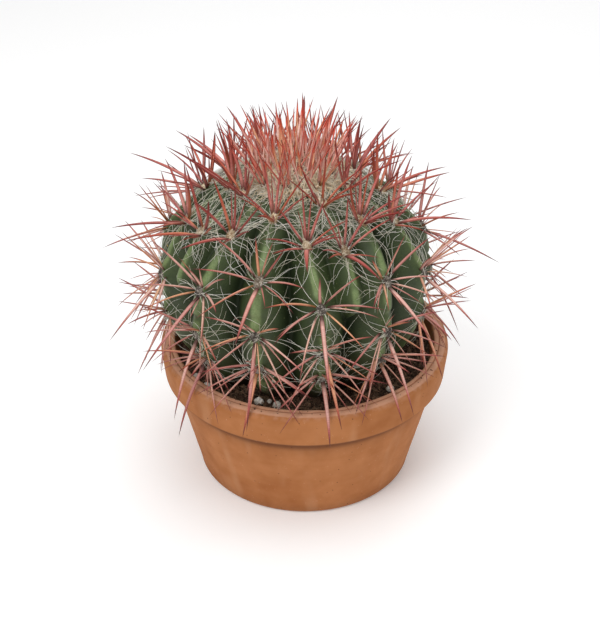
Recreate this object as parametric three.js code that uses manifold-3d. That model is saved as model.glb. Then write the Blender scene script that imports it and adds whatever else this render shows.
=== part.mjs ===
// A round barrel cactus in a shallow terracotta pan, in millimetres, with +Z up.
// The plant stands a little to one side in its pot: every piece is made with the plant's axis on
// the Z axis and the pot's axis at x = POT_X. Bearings run round Z, from the front (-Y) to +X.
import * as THREE from "three";
import { mergeVertices } from "three/addons/utils/BufferGeometryUtils.js";
import Module from "manifold-3d";

const wasm = await Module();
wasm.setup();

// The pot: a thrown pan, half as tall as it is wide, with a thick band round its rim.
const POT_X = 7.5;
const POT_HEIGHT = 109;
const RIM_RADIUS = 110;
const RIM_INNER_RADIUS = 99;
const RIM_ROUNDING = 5.5;
const RIM_INNER_ROUNDING = 1.5;
const BAND_HEIGHT = 26.5;
const BAND_LOW_RADIUS = 108;
const BAND_CHAMFER = 1.8;
const WALL_TOP_RADIUS = 102;
const BASE_RADIUS = 83;
const BASE_ROUNDING = 4;
const FLOOR_THICKNESS = 10;
const FLOOR_INNER_RADIUS = 71;
const FLOOR_CHAMFER = 3.5;
const DRAIN_RADIUS = 10;
const POT_SIDES = 48;
const RIM_MIDDLE = (RIM_RADIUS + RIM_INNER_RADIUS) / 2;
const RIM_HALF_WIDTH = (RIM_RADIUS - RIM_INNER_RADIUS) / 2;

// The potting mix, filled to a finger's breadth below the rim, with bark chips and perlite on top.
const SOIL_TOP = 97;
const SOIL_RELIEF = 1.6;
const SOIL_RINGS = [91, 81, 71, 60];
const SEAT_GAP = 0.3;
const BARK_CHIPS = 40;
const CHIP_SIZE = [1.8, 3.6];
const CHIP_RING = [74, 90];

// The perlite grains: each one's bearing about the pot, its distance from the middle, and its size.
const PERLITE_GRAINS = [
  [-63, 91, 3],
  [-52, 91, 3.3],
  [-24, 82.5, 3.5],
  [-19.3, 78.8, 2.2],
  [-14.2, 82, 3.5],
  [47, 86, 3.1],
  [118, 82, 2.8],
  [201, 86, 3.3],
];

// The barrel: a flattened ball that goes on into the soil and ends in a short tap root.
const BODY_RADIUS = 101.5;
const EQUATOR_Z = 170;
const UPPER_HEIGHT = 77;
const LOWER_HEIGHT = 100;
const CROWN_DIP = 5;
const CROWN_DIP_RADIUS = 20;
const ROOT_RADIUS = 13;
const ROOT_TIP_Z = 36;
const ROOT_TOP_Z = 66;
const BODY_ROWS = [170, 155, 141, 129, 118, 108, 98, 88, 78, 68, 58, 48, 38, 29, 21, 14, 7];
const COLUMNS_PER_RIB = 4;

// Its ribs: thirteen full ones and four young ones, which end half way down.
const FULL_RIBS = 13;
const YOUNG_RIBS_AFTER = [1, 6, 8, 11];
const FIRST_BEARING = -15.5;
const RIB_DEPTH = 21;
const CREST_ROUNDING = 0.16;
const RIB_START_RADIUS = 36;
const RIB_FULL_RADIUS = 92;
const YOUNG_RIB_END = [74, 98];

// Areoles, the felt pads on the crests, lie at distances along the crest from the crown that close
// up downwards. Each full rib's row is shifted by a share of a step, and young ribs have two each.
const FIRST_AREOLE = 54;
const AREOLE_STEP = 52.5;
const AREOLE_CLOSING = 4.5;
const AREOLE_RANGE = [-0.25, 3.5];
const SHOULDER_STEP = 0.8;
const RIB_SHIFTS = [0, 0.42, 0.25, 0.56, 0.2, 0.7, 0.32, 0.8, 0.38, 0.9, 0.3, 0.68, 0.42];
const YOUNG_RIB_STEPS = [-0.2, 0.6];
const PAD_SIZE = [7, 9.5, 5];

// The spines of one areole: the turn from the rib's upward line, the lean from the outward normal,
// the length, the width, and the curl towards the soil as a share of the length. The first is the
// long flat one that points down.
const AREOLE_SPINES = [
  { turn: 180, lean: 44, length: 49, width: 3.6, curl: 0.27, rings: 2 },
  { turn: -46, lean: 56, length: 48, width: 2.8, curl: 0.14, rings: 1 },
  { turn: 46, lean: 56, length: 48, width: 2.8, curl: 0.14, rings: 1 },
  { turn: 4, lean: 40, length: 43, width: 2.5, curl: 0.05, rings: 1 },
  { turn: -88, lean: 62, length: 43, width: 2.3, curl: 0.2, rings: 1 },
  { turn: 88, lean: 62, length: 43, width: 2.3, curl: 0.2, rings: 1 },
];
const YOUNG_RISE = 0.7;
const YOUNG_WIDTH = 1.15;
const YOUNG_LENGTH = 0.95;
const YOUNG_TO_OLD = [50, 130];
const SPINE_ROOT_DEPTH = 3;
const SPINE_FLATNESS = 0.6;
const SPINE_BELLY = 0.35;
const TURN_SPREAD = 13;
const LEAN_SPREAD = 7;
const LENGTH_SPREAD = 0.13;
const CURL_SPREAD = 0.08;
const SPINE_CLEARANCE = 1;
const LIFT_STEP = 0.06;
const LIFT_TRIES = 24;

// The crown: a low dome of wool in the dip at the top, with a dense tuft of young erect spines.
const CROWN_RADIUS = 34;
const CROWN_SIDES = 20;
const CROWN_SEAT = 0.45;
const WOOL_HEIGHT = 6;
const CROWN_AREOLES = 19;
const SPINES_PER_CROWN_AREOLE = 5;
const CROWN_SPINE_LENGTH = [36, 50];
const CROWN_SPINE_WIDTH = 2.8;
const CROWN_LEAN = 24;
const CROWN_FAN = [8, 26];
const CROWN_CURL = 0.07;

const SEED = 7;
const GOLDEN_ANGLE = 137.508;
const radians = THREE.MathUtils.degToRad;
const degrees = THREE.MathUtils.radToDeg;
const mix = THREE.MathUtils.lerp;
const ramp = THREE.MathUtils.smoothstep;

// A number from 0 to 1 that depends only on its two arguments and the seed.
function chance(a, b) {
  const wave = Math.sin(a * 12.9898 + b * 78.233 + SEED * 37.719) * 43758.5453;
  return wave - Math.floor(wave);
}
function spread(a, b, reach) {
  return (2 * chance(a, b) - 1) * reach;
}
// The horizontal direction at a bearing, in radians.
function heading(bearing) {
  return new THREE.Vector3(Math.sin(bearing), -Math.cos(bearing), 0);
}

// A closed geometry as a solid, and a solid as a geometry.
function solid(geometry) {
  const bare = geometry.clone();
  bare.deleteAttribute("normal");
  bare.deleteAttribute("uv");
  const merged = mergeVertices(bare, 1e-4);
  return new wasm.Manifold(
    new wasm.Mesh({
      numProp: 3,
      vertProperties: merged.attributes.position.array,
      triVerts: new Uint32Array(merged.index.array),
    }),
  );
}
// The outer skin of a solid's largest body: hollows sealed between fused pieces are filled.
function filled(manifold) {
  return manifold.decompose().reduce((best, body) => (body.volume() > best.volume() ? body : best));
}
function geometryOf(manifold) {
  const made = manifold.getMesh();
  return new THREE.BufferGeometry()
    .setAttribute("position", new THREE.BufferAttribute(made.vertProperties, 3))
    .setIndex(new THREE.BufferAttribute(made.triVerts, 1));
}

// A body of revolution about Z, from a profile of [radius, z] that runs up on the outside.
function turned(profile, sides) {
  const points = profile.map(([radius, z]) => new THREE.Vector2(radius, z));
  return new THREE.LatheGeometry(points, sides).rotateX(Math.PI / 2);
}
function arc(radius, z, size, from, to, steps) {
  return Array.from({ length: steps + 1 }, (_, i) => {
    const angle = radians(mix(from, to, i / steps));
    return [radius + size * Math.cos(angle), z + size * Math.sin(angle)];
  });
}

// The pot's outside from the drain hole to the rim, then its inside back to the hole.
const innerLowZ = FLOOR_THICKNESS + FLOOR_CHAMFER;
const innerTopZ = POT_HEIGHT - RIM_INNER_ROUNDING;
function potGeometry() {
  const bandLowZ = POT_HEIGHT - BAND_HEIGHT;
  return turned(
    [
      [DRAIN_RADIUS, 0],
      ...arc(BASE_RADIUS - BASE_ROUNDING, BASE_ROUNDING, BASE_ROUNDING, -90, 0, 2),
      [WALL_TOP_RADIUS, bandLowZ],
      [BAND_LOW_RADIUS - BAND_CHAMFER, bandLowZ],
      [BAND_LOW_RADIUS, bandLowZ + BAND_CHAMFER],
      ...arc(RIM_RADIUS - RIM_ROUNDING, POT_HEIGHT - RIM_ROUNDING, RIM_ROUNDING, 0, 90, 3),
      [RIM_INNER_RADIUS + RIM_INNER_ROUNDING, POT_HEIGHT],
      [RIM_INNER_RADIUS, innerTopZ],
      [innerRadius(innerLowZ), innerLowZ],
      [FLOOR_INNER_RADIUS, FLOOR_THICKNESS],
      [DRAIN_RADIUS, FLOOR_THICKNESS],
      [DRAIN_RADIUS, 0],
    ],
    POT_SIDES,
  ).translate(POT_X, 0, 0);
}
// The inner wall's radius at a height.
function innerRadius(z) {
  const share = (z - innerLowZ) / (innerTopZ - innerLowZ);
  return mix(FLOOR_INNER_RADIUS + FLOOR_CHAMFER, RIM_INNER_RADIUS, share);
}

// Each rib: its bearing near the soil, where the full ribs share the circle evenly, and its
// bearing at the crown, where all of them do.
const ribs = [];
for (let k = 0; k < FULL_RIBS; k++) {
  ribs.push({ base: FIRST_BEARING + (k * 360) / FULL_RIBS, shift: RIB_SHIFTS[k] });
  if (YOUNG_RIBS_AFTER.includes(k)) {
    ribs.push({ base: FIRST_BEARING + ((k + 0.5) * 360) / FULL_RIBS, young: true });
  }
}
const crownSpacing = 360 / ribs.length;
const baseSpacing = 360 / FULL_RIBS;
ribs.forEach((rib, i) => {
  rib.crown = FIRST_BEARING + i * crownSpacing;
});
const towardsBase = (polar) => ramp(polar, 25, 95);
const ribBearing = (rib, polar) => mix(rib.crown, rib.base, towardsBase(polar));

// The crest line's radius and height, at an angle in degrees from the top of the ball.
function crest(polar) {
  const angle = radians(polar);
  const radius = BODY_RADIUS * Math.sin(angle);
  const upper = polar < 90;
  const height = (upper ? UPPER_HEIGHT : LOWER_HEIGHT) * Math.cos(angle);
  const dip = upper ? CROWN_DIP * Math.exp(-((radius / CROWN_DIP_RADIUS) ** 2)) : 0;
  return [radius, EQUATOR_Z + height - dip];
}

// How far the skin lies inside the crest line at a bearing: the flank of the nearest rib.
function grooveDepth(bearing, polar) {
  const [radius] = crest(polar);
  const upperShare = ramp(radius, RIB_START_RADIUS, RIB_FULL_RADIUS);
  const lowerShare = mix(1, 0.3, ramp(polar, 95, 165));
  const halfWidth = mix(crownSpacing, baseSpacing, towardsBase(polar)) / 2;
  const rounded = (share) => Math.hypot(share, CREST_ROUNDING) - CREST_ROUNDING;
  const depths = ribs.map((rib) => {
    const turn = THREE.MathUtils.euclideanModulo(bearing - ribBearing(rib, polar) + 180, 360) - 180;
    if (!rib.young) return rounded(Math.abs(turn) / halfWidth);
    return rounded(Math.abs(turn) / (crownSpacing / 2)) + ramp(polar, ...YOUNG_RIB_END);
  });
  const least = Math.min(...depths, rounded(1.1));
  return (RIB_DEPTH * (polar < 90 ? upperShare : lowerShare) * least) / rounded(1);
}

// The barrel with its tap root: a lathe whose columns follow the crests and the grooves.
function bodyGeometry(extra) {
  const root = [
    [0, ROOT_TIP_Z - extra],
    [ROOT_RADIUS / 2 + extra, ROOT_TIP_Z + ROOT_RADIUS / 2],
    [ROOT_RADIUS + extra, ROOT_TOP_Z],
  ];
  const profile = [...root, ...BODY_ROWS.map(crest), [0, crest(0)[1] + extra]];
  const columns = ribs.length * COLUMNS_PER_RIB;
  const geometry = turned(profile, columns);
  const place = geometry.attributes.position;
  for (let column = 0; column <= columns; column++) {
    const before = Math.floor(column / COLUMNS_PER_RIB);
    const share = (column % COLUMNS_PER_RIB) / COLUMNS_PER_RIB;
    const [rib, next] = [ribs[before % ribs.length], ribs[(before + 1) % ribs.length]];
    BODY_ROWS.forEach((polar, row) => {
      const here = ribBearing(rib, polar);
      const gap = THREE.MathUtils.euclideanModulo(ribBearing(next, polar) - here, 360);
      const bearing = here + gap * share;
      const [radius, z] = crest(polar);
      const point = heading(radians(bearing)).multiplyScalar(radius + extra - grooveDepth(bearing, polar));
      place.setXYZ(column * profile.length + root.length + row, point.x, point.y, z);
    });
  }
  return geometry;
}

// The soil between the pot's inside and the plant, with its rough top, chips, and perlite hollows.
function soilRelief(x, y) {
  const broad = Math.sin(x * 0.21 + 1.3) * Math.cos(y * 0.17);
  const fine = Math.sin(x * 0.53 - y * 0.41);
  return SOIL_RELIEF * (0.6 * broad + 0.4 * fine);
}
function onSoil(bearing, radius, height) {
  const point = heading(radians(bearing)).multiplyScalar(radius);
  return point.setZ(SOIL_TOP + soilRelief(point.x, point.y) + height);
}
function soilGeometry(hollows) {
  const profile = [
    [0, FLOOR_THICKNESS + SEAT_GAP],
    [FLOOR_INNER_RADIUS - SEAT_GAP, FLOOR_THICKNESS + SEAT_GAP],
    [innerRadius(innerLowZ) - SEAT_GAP, innerLowZ + SEAT_GAP],
    [innerRadius(SOIL_TOP) - SEAT_GAP, SOIL_TOP],
    ...SOIL_RINGS.map((radius) => [radius, SOIL_TOP]),
    [0, SOIL_TOP],
  ];
  const bed = turned(profile, POT_SIDES);
  const place = bed.attributes.position;
  for (let i = 0; i < place.count; i++) {
    const [x, y, z] = [place.getX(i), place.getY(i), place.getZ(i)];
    const inside = Math.hypot(x, y) < SOIL_RINGS[0] + 0.5;
    if (inside && z > SOIL_TOP - 0.5) place.setZ(i, z + soilRelief(x, y));
  }
  const chips = [];
  for (let n = 0; n < BARK_CHIPS; n++) {
    const size = mix(...CHIP_SIZE, chance(n, 3));
    const chip = new THREE.OctahedronGeometry(size);
    chip.scale(1.3, 0.9, 0.7).rotateZ(n).rotateX(spread(n, 4, 0.5));
    const point = onSoil((n * 360) / BARK_CHIPS, mix(...CHIP_RING, chance(n, 5)), -size * 0.15);
    chips.push(solid(chip.translate(point.x, point.y, point.z)));
  }
  const whole = wasm.Manifold.union([solid(bed), ...chips]).translate([POT_X, 0, 0]);
  return geometryOf(filled(whole.subtract(wasm.Manifold.union(hollows))));
}

// One perlite grain, half sunk in the soil.
function perliteGeometry(n, extra) {
  const [bearing, fromMiddle, size] = PERLITE_GRAINS[n];
  const grain = new THREE.IcosahedronGeometry(size + extra);
  grain.scale(1.15, 0.95, 0.85).rotateZ(n * 2).rotateX(n);
  const point = onSoil(bearing, fromMiddle, size * 0.35);
  return grain.translate(point.x + POT_X, point.y, point.z);
}

// A spine's path: along its direction at the root, then curling sideways towards the tip.
function spinePath(root, direction, length, curl) {
  const middle = root.clone().addScaledVector(direction, length / 2);
  const tip = root.clone().addScaledVector(direction, length).addScaledVector(curl, length);
  return new THREE.QuadraticBezierCurve3(root, middle, tip);
}
// A three-sided needle along a path, wider across than it is thick.
function needle(path, width, rings) {
  const cone = new THREE.ConeGeometry(width / 2, 1, 3, rings);
  const place = cone.attributes.position;
  const level = new THREE.Vector3().crossVectors(path.getTangent(0), THREE.Object3D.DEFAULT_UP);
  for (let i = 0; i < place.count; i++) {
    const share = place.getY(i) + 0.5;
    const tangent = path.getTangent(share);
    const across = level.clone().addScaledVector(tangent, -level.dot(tangent)).normalize();
    const thick = new THREE.Vector3().crossVectors(across, tangent);
    const belly = 1 + SPINE_BELLY * Math.sin(Math.PI * share);
    const point = path.getPoint(share);
    point.addScaledVector(across, place.getX(i) * belly);
    point.addScaledVector(thick, place.getZ(i) * belly * SPINE_FLATNESS);
    place.setXYZ(i, point.x, point.y, point.z);
  }
  return solid(cone);
}

// Whether a point stays clear of the soil, the rim and the barrel's own skin.
function isClear(point, width) {
  const fromPot = Math.hypot(point.x - POT_X, point.y);
  const margin = SPINE_CLEARANCE + width;
  const soilLimit = SOIL_TOP + SOIL_RELIEF + CHIP_SIZE[1] + margin;
  const rimLimit = POT_HEIGHT + margin;
  if (fromPot < RIM_RADIUS + margin && point.z < soilLimit) return false;
  if (Math.abs(fromPot - RIM_MIDDLE) < RIM_HALF_WIDTH + margin && point.z < rimLimit) return false;
  const height = point.z - EQUATOR_Z;
  const share = height / (height > 0 ? UPPER_HEIGHT : LOWER_HEIGHT);
  if (Math.abs(share) >= 1) return true;
  const polar = degrees(Math.acos(share));
  const bearing = degrees(Math.atan2(point.x, -point.y));
  return Math.hypot(point.x, point.y) > crest(polar)[0] - grooveDepth(bearing, polar) + 0.5;
}
function staysClear(path, width, others) {
  for (let share = 0.25; share <= 1; share += 0.125) {
    const point = path.getPoint(share);
    if (!isClear(point, width * (1 - share))) return false;
    if (others.some((other) => other.distanceTo(point) < width + SPINE_CLEARANCE)) return false;
  }
  return true;
}

// The crown's wool, just clear of the dip it lies in, and its tuft: young areoles spread over the
// wool, each with a fan of erect spines fused into it.
const crownEdgeZ = crest(degrees(Math.asin(CROWN_RADIUS / BODY_RADIUS)))[1] + CROWN_SEAT;
function crownSpines() {
  const paths = [];
  for (let n = 0; n < CROWN_AREOLES * SPINES_PER_CROWN_AREOLE; n++) {
    const areole = Math.floor(n / SPINES_PER_CROWN_AREOLE);
    const share = Math.sqrt((areole + 0.5) / CROWN_AREOLES);
    const outward = heading(radians(areole * GOLDEN_ANGLE));
    const fanTurn = (n * 360) / SPINES_PER_CROWN_AREOLE + spread(n, 21, 2 * TURN_SPREAD);
    const fan = heading(radians(areole * GOLDEN_ANGLE + fanTurn));
    const root = outward.clone().multiplyScalar(CROWN_RADIUS * 0.88 * share).addScaledVector(fan, 1.5);
    root.z = crownEdgeZ + WOOL_HEIGHT * 0.3;
    const direction = new THREE.Vector3(0, 0, 1);
    direction.addScaledVector(outward, Math.tan(radians(CROWN_LEAN * share)));
    direction.addScaledVector(fan, Math.tan(radians(mix(...CROWN_FAN, chance(n, 22)))));
    const length = mix(...CROWN_SPINE_LENGTH, chance(n, 23));
    const curl = outward.clone().multiplyScalar(CROWN_CURL);
    curl.addScaledVector(fan, spread(n, 24, 2 * CURL_SPREAD));
    paths.push(spinePath(root, direction.normalize(), length, curl));
  }
  return paths;
}
function crownGeometry(paths) {
  const under = [0, 7, 14].map(crest).map(([radius, z]) => [radius, z + CROWN_SEAT]);
  const dome = turned(
    [
      ...under,
      [CROWN_RADIUS, crownEdgeZ],
      [CROWN_RADIUS * 0.93, crownEdgeZ + WOOL_HEIGHT * 0.5],
      [CROWN_RADIUS * 0.6, crownEdgeZ + WOOL_HEIGHT],
      [0, crownEdgeZ + WOOL_HEIGHT * 0.9],
    ],
    CROWN_SIDES,
  );
  const tuft = paths.map((path) => needle(path, CROWN_SPINE_WIDTH, 1));
  return geometryOf(filled(wasm.Manifold.union([solid(dome), ...tuft])));
}

// The areoles, by walking each crest line down from the crown.
function polarAt(distance) {
  let walked = 0;
  let polar = 0;
  let last = crest(0);
  while (walked < distance) {
    polar += 0.25;
    const next = crest(polar);
    walked += Math.hypot(next[0] - last[0], next[1] - last[1]);
    last = next;
  }
  return polar;
}
function areoles() {
  const [first, last] = AREOLE_RANGE;
  return ribs.flatMap((rib, r) => {
    const full = [rib.shift - SHOULDER_STEP, rib.shift, rib.shift + 1, rib.shift + 2, rib.shift + 3];
    const steps = (rib.young ? YOUNG_RIB_STEPS : full).filter((step) => step >= first && step < last);
    return steps.map((step, n) => {
      const distance = FIRST_AREOLE + AREOLE_STEP * step - AREOLE_CLOSING * step * step;
      return { rib, distance, id: r * 10 + n, polar: polarAt(distance) };
    });
  });
}
// An areole's place and directions: out of the skin, up along the rib, and across it.
function areoleFrame({ rib, polar }) {
  const at = (angle) => {
    const [radius, z] = crest(angle);
    return heading(radians(ribBearing(rib, angle))).multiplyScalar(radius).setZ(z);
  };
  const up = at(polar - 1).sub(at(polar + 1)).normalize();
  const radial = heading(radians(ribBearing(rib, polar)));
  const across = new THREE.Vector3().crossVectors(radial, up).negate().normalize();
  const out = new THREE.Vector3().crossVectors(across, up);
  return { place: at(polar), out, up, across };
}

// One areole's solids: the felt pad and its spines, which stand up on the young areoles near the
// crown. A spine that would touch the soil, the rim, the skin or the crown's tuft is lifted
// outwards and up until it is clear.
function areoleSolids(areole, crownPoints) {
  const { place, out, up, across } = areoleFrame(areole);
  const pad = new THREE.SphereGeometry(0.5, 6, 2).rotateX(Math.PI / 2);
  pad.scale(...PAD_SIZE);
  pad.applyMatrix4(new THREE.Matrix4().makeBasis(across, up, out).setPosition(place));
  const solids = [solid(pad)];
  const age = ramp(areole.distance, ...YOUNG_TO_OLD);
  AREOLE_SPINES.forEach((spine, n) => {
    const id = areole.id * 10 + n;
    const turn = radians(spine.turn + spread(id, 31, TURN_SPREAD));
    const lean = radians(spine.lean + spread(id, 32, LEAN_SPREAD));
    const size = spine.length * (1 + spread(id, 33, LENGTH_SPREAD));
    const length = size * mix(YOUNG_LENGTH, 1, age);
    const width = spine.width * mix(YOUNG_WIDTH, 1, age);
    const sideways = up.clone().multiplyScalar(Math.cos(turn)).addScaledVector(across, Math.sin(turn));
    const direction = out.clone().multiplyScalar(Math.cos(lean)).addScaledVector(sideways, Math.sin(lean));
    direction.z += YOUNG_RISE * (1 - age);
    direction.normalize();
    const root = place.clone().addScaledVector(out, -SPINE_ROOT_DEPTH).addScaledVector(sideways, 1);
    const curl = up.clone().multiplyScalar(spread(id, 34, CURL_SPREAD) - spine.curl);
    curl.addScaledVector(across, spread(id, 35, CURL_SPREAD));
    for (let attempt = 0; attempt < LIFT_TRIES; attempt++) {
      const path = spinePath(root, direction, length + SPINE_ROOT_DEPTH, curl);
      if (staysClear(path, width, crownPoints)) {
        solids.push(needle(path, width, spine.rings));
        break;
      }
      direction.addScaledVector(out, LIFT_STEP / 2);
      direction.z += LIFT_STEP;
      direction.normalize();
    }
  });
  return solids;
}

// Finishes, and the assembly.
const terracotta = new THREE.MeshStandardMaterial({ color: 0xbf7c4f, roughness: 0.85, metalness: 0 });
const pottingMix = new THREE.MeshStandardMaterial({ color: 0x3a2c22, roughness: 0.95, metalness: 0 });
const perlite = new THREE.MeshStandardMaterial({ color: 0xd9d2c4, roughness: 0.9, metalness: 0 });
const greenSkin = new THREE.MeshStandardMaterial({ color: 0x3f5b38, roughness: 0.5, metalness: 0 });
const redSpine = new THREE.MeshStandardMaterial({ color: 0xb6584a, roughness: 0.5, metalness: 0 });

const pottedCactus = new THREE.Group();
function add(name, geometry, material) {
  geometry.computeVertexNormals();
  const mesh = new THREE.Mesh(geometry, material);
  mesh.name = name;
  pottedCactus.add(mesh);
}

const tuftPaths = crownSpines();
const tuftPoints = tuftPaths.flatMap((path) => path.getPoints(10));
const plant = areoles().flatMap((areole) => areoleSolids(areole, tuftPoints));
const hollows = [solid(bodyGeometry(SEAT_GAP + 0.1))];
PERLITE_GRAINS.forEach((_, n) => hollows.push(solid(perliteGeometry(n, SEAT_GAP))));

add("pot", potGeometry(), terracotta);
add("soil", soilGeometry(hollows), pottingMix);
add("cactus_body", geometryOf(filled(wasm.Manifold.union([solid(bodyGeometry(0)), ...plant]))), greenSkin);
add("crown", crownGeometry(tuftPaths), redSpine);
PERLITE_GRAINS.forEach((_, n) => add(`perlite_${n + 1}`, perliteGeometry(n, 0), perlite));

// The part's origin is under the middle of the whole, at the foot of the pot.
const middle = new THREE.Box3().setFromObject(pottedCactus).getCenter(new THREE.Vector3());
pottedCactus.position.set(-middle.x, -middle.y, 0);

export default pottedCactus;
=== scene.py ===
import math

import bpy
import numpy as np
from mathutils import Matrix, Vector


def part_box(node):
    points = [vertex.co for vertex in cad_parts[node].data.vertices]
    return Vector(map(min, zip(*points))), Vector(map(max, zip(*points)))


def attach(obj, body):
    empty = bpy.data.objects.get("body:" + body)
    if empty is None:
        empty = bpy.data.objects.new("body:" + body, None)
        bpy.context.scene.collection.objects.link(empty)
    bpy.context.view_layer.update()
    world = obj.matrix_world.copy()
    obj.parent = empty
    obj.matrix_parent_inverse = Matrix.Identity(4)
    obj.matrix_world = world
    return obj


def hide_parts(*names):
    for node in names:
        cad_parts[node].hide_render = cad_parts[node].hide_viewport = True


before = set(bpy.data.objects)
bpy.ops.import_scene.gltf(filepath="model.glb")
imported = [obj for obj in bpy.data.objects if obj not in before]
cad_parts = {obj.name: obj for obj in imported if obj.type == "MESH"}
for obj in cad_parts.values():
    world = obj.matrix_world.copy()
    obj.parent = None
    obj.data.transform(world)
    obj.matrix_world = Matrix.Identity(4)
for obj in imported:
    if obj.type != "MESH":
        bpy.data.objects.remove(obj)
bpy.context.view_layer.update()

# The view: a pale floor under soft studio light, seen from in front and above the rim.
# Sizes in this file are in millimetres unless they say otherwise. Bearings are in degrees round
# the plant's own upright axis, from the front on to the right.
MM = 0.001
PLANT_LEFT_OF_POT = 7.5
EYE_FROM_POT = (-3.6, -900.6, 693.8)
LOOK_DOWN = 32.09
LENS = 81.03
SENSOR = 36
FARTHEST_SEEN_M = 40
FLOOR_HALF = 6000
FLOOR_GREY = (0.94, 0.94, 0.94, 1)
WHITE = (1, 1, 1, 1)
LIGHTS_AIM_M = (0, 0, 0.15)
LIGHTS_PLACE_SIZE_POWER = {
    "key_light": ((-0.8, -1.1, 1.9), 0.9, 19),
    "fill_light": ((1.6, -1.3, 1.0), 1.6, 4),
    "back_light": ((0.4, 1.6, 1.5), 1.4, 6),
    "top_light": ((0.1, -0.1, 2.1), 1.2, 17),
}
ROOM_LIGHT = 0.36

pot_low, pot_high = (np.array(corner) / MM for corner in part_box("pot"))
POT_MIDDLE = (pot_low + pot_high) / 2 * (1, 1, 0)
PLANT_MIDDLE = POT_MIDDLE - (PLANT_LEFT_OF_POT, 0, 0)


def new_object(name, data):
    thing = bpy.data.objects.new(name, data)
    bpy.context.collection.objects.link(thing)
    return thing


def new_finish(name, roughness, specular, **values):
    """A material with values on its shader: the material, its tree and the shader's inputs."""
    finish = bpy.data.materials.new(name)
    finish.use_nodes = True
    tree = finish.node_tree
    shader = tree.nodes["Principled BSDF"].inputs
    values.update(Roughness=roughness, Specular_IOR_Level=specular)
    for label, value in values.items():
        shader[label.replace("_", " ")].default_value = value
    return finish, tree, shader


def new_piece(name, points, faces, finish=None, edges=()):
    """A mesh object from points about the plant's axis, with its faces or its edges."""
    mesh = bpy.data.meshes.new(name)
    mesh.from_pydata(((points + PLANT_MIDDLE) * MM).tolist(), edges, faces)
    mesh.shade_smooth()
    if finish:
        mesh.materials.append(finish)
    return new_object(name, mesh)


camera_data = bpy.data.cameras.new("camera")
camera_data.lens = LENS
camera_data.sensor_width = SENSOR
camera_data.clip_end = FARTHEST_SEEN_M
camera = new_object("camera", camera_data)
camera.location = (POT_MIDDLE + EYE_FROM_POT) * MM
camera.rotation_euler = (math.radians(90 - LOOK_DOWN), 0, 0)
bpy.context.scene.camera = camera
bpy.context.scene.view_settings.view_transform = "Standard"

floor_finish, _, _ = new_finish(
    "pale_floor", 0.9, 0.1, Base_Color=FLOOR_GREY, Emission_Color=WHITE, Emission_Strength=0.16
)
floor_corners = np.array([(-1, -1, 0), (1, -1, 0), (1, 1, 0), (-1, 1, 0)]) * FLOOR_HALF
floor = new_piece("floor", floor_corners, [(0, 1, 2, 3)], floor_finish)

for name, (place, size, power) in LIGHTS_PLACE_SIZE_POWER.items():
    lamp = bpy.data.lights.new(name, "AREA")
    lamp.shape = "SQUARE"
    lamp.size = size
    lamp.energy = power
    light = new_object(name, lamp)
    light.location = place
    x, y, z = np.subtract(LIGHTS_AIM_M, place)
    light.rotation_euler = (math.atan2(math.hypot(x, y), -z), 0, math.atan2(x, -y) + math.pi)
world = bpy.data.worlds.new("studio")
world.use_nodes = True
world.node_tree.nodes["Background"].inputs["Color"].default_value = WHITE
world.node_tree.nodes["Background"].inputs["Strength"].default_value = ROOM_LIGHT
bpy.context.scene.world = world


# The pot is a shallow terracotta pan, thrown and fired without a glaze: a flared wall under a
# thick rounded band, with a drain hole in its floor. Its rim is a little chipped, and salts
# from the water have left a pale bloom along it.
POT_HEIGHT = 109
RIM_RADIUS = 110
RIM_INNER_RADIUS = 99
RIM_ROUNDING = 5.5
RIM_INNER_ROUNDING = 1.5
RIM_LINE_RADIUS = 103
RIM_LINE_WIDTH = 0.5
RIM_TOP_DEPTH = 1.2
RIM_LINE_ASIDE_DEPTH = ((0.9, 0), (0.4, 0.4), (0, 0.65), (-0.4, 0.4), (-0.9, 0))
BAND_HEIGHT = 26.5
BAND_LOW_RADIUS = 108
BAND_LOW_ROUNDING = 1.8
UNDER_BAND_CHAMFER = (0.7, 0.8)
WALL_TOP_RADIUS = 102
BASE_RADIUS = 83
BASE_ROUNDING = 4
FLOOR_THICKNESS = 10
FLOOR_INNER_RADIUS = 71
FLOOR_CHAMFER = 3.5
DRAIN_RADIUS = 10
DRAIN_CHAMFER = 0.6
POT_COLUMNS = 288
THROWN_FROM_RADIUS = (60, 80)
THROWN_ABOVE = 3
CHIPS_ON_RIM = 26
CHIP_SIZE = (0.8, 2.4)
CHIP_DEPTH = 0.32
CHIP_SQUEEZE = 0.8
CHIPPED_DEPTH = 6
OUTER_CHIP_RADIUS_DROP = (RIM_RADIUS - 1.6, 1.4)
INNER_CHIP_RADIUS_DROP = (RIM_INNER_RADIUS + 0.7, 0.4)
# Where the rim's top is painted paler, partly salt bloom and partly a painted highlight.
RIM_BLOOM_AND_HIGHLIGHT_INNER_EDGE = (RIM_INNER_RADIUS, 100.5)
RIM_BLOOM_AND_HIGHLIGHT_OUTER_EDGE = (109.2, 107.5)
SEED = 7


def mix(low, high, share):
    return low + (high - low) * share


def ramp(value, low, high):
    """A smooth step from 0 at low to 1 at high."""
    share = np.clip((value - low) / (high - low), 0, 1)
    return share * share * (3 - 2 * share)


def chance(which, use):
    """A number from 0 to 1 that depends only on a thing's number, its use and the seed."""
    wave = np.sin(which * 12.9898 + use * 78.233 + SEED * 37.719) * 43758.5453
    return wave - np.floor(wave)


def apart(first, second):
    """The turn in degrees from the second bearing to the first, from -180 to 180."""
    return (first - second + 180) % 360 - 180


def around(bearing, reach, z):
    """Points at a bearing in degrees about the plant's axis, a reach from it and a height."""
    turn, reach, z = np.broadcast_arrays(np.radians(bearing), reach, z)
    return np.stack([np.sin(turn) * reach, -np.cos(turn) * reach, z], axis=-1)


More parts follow.
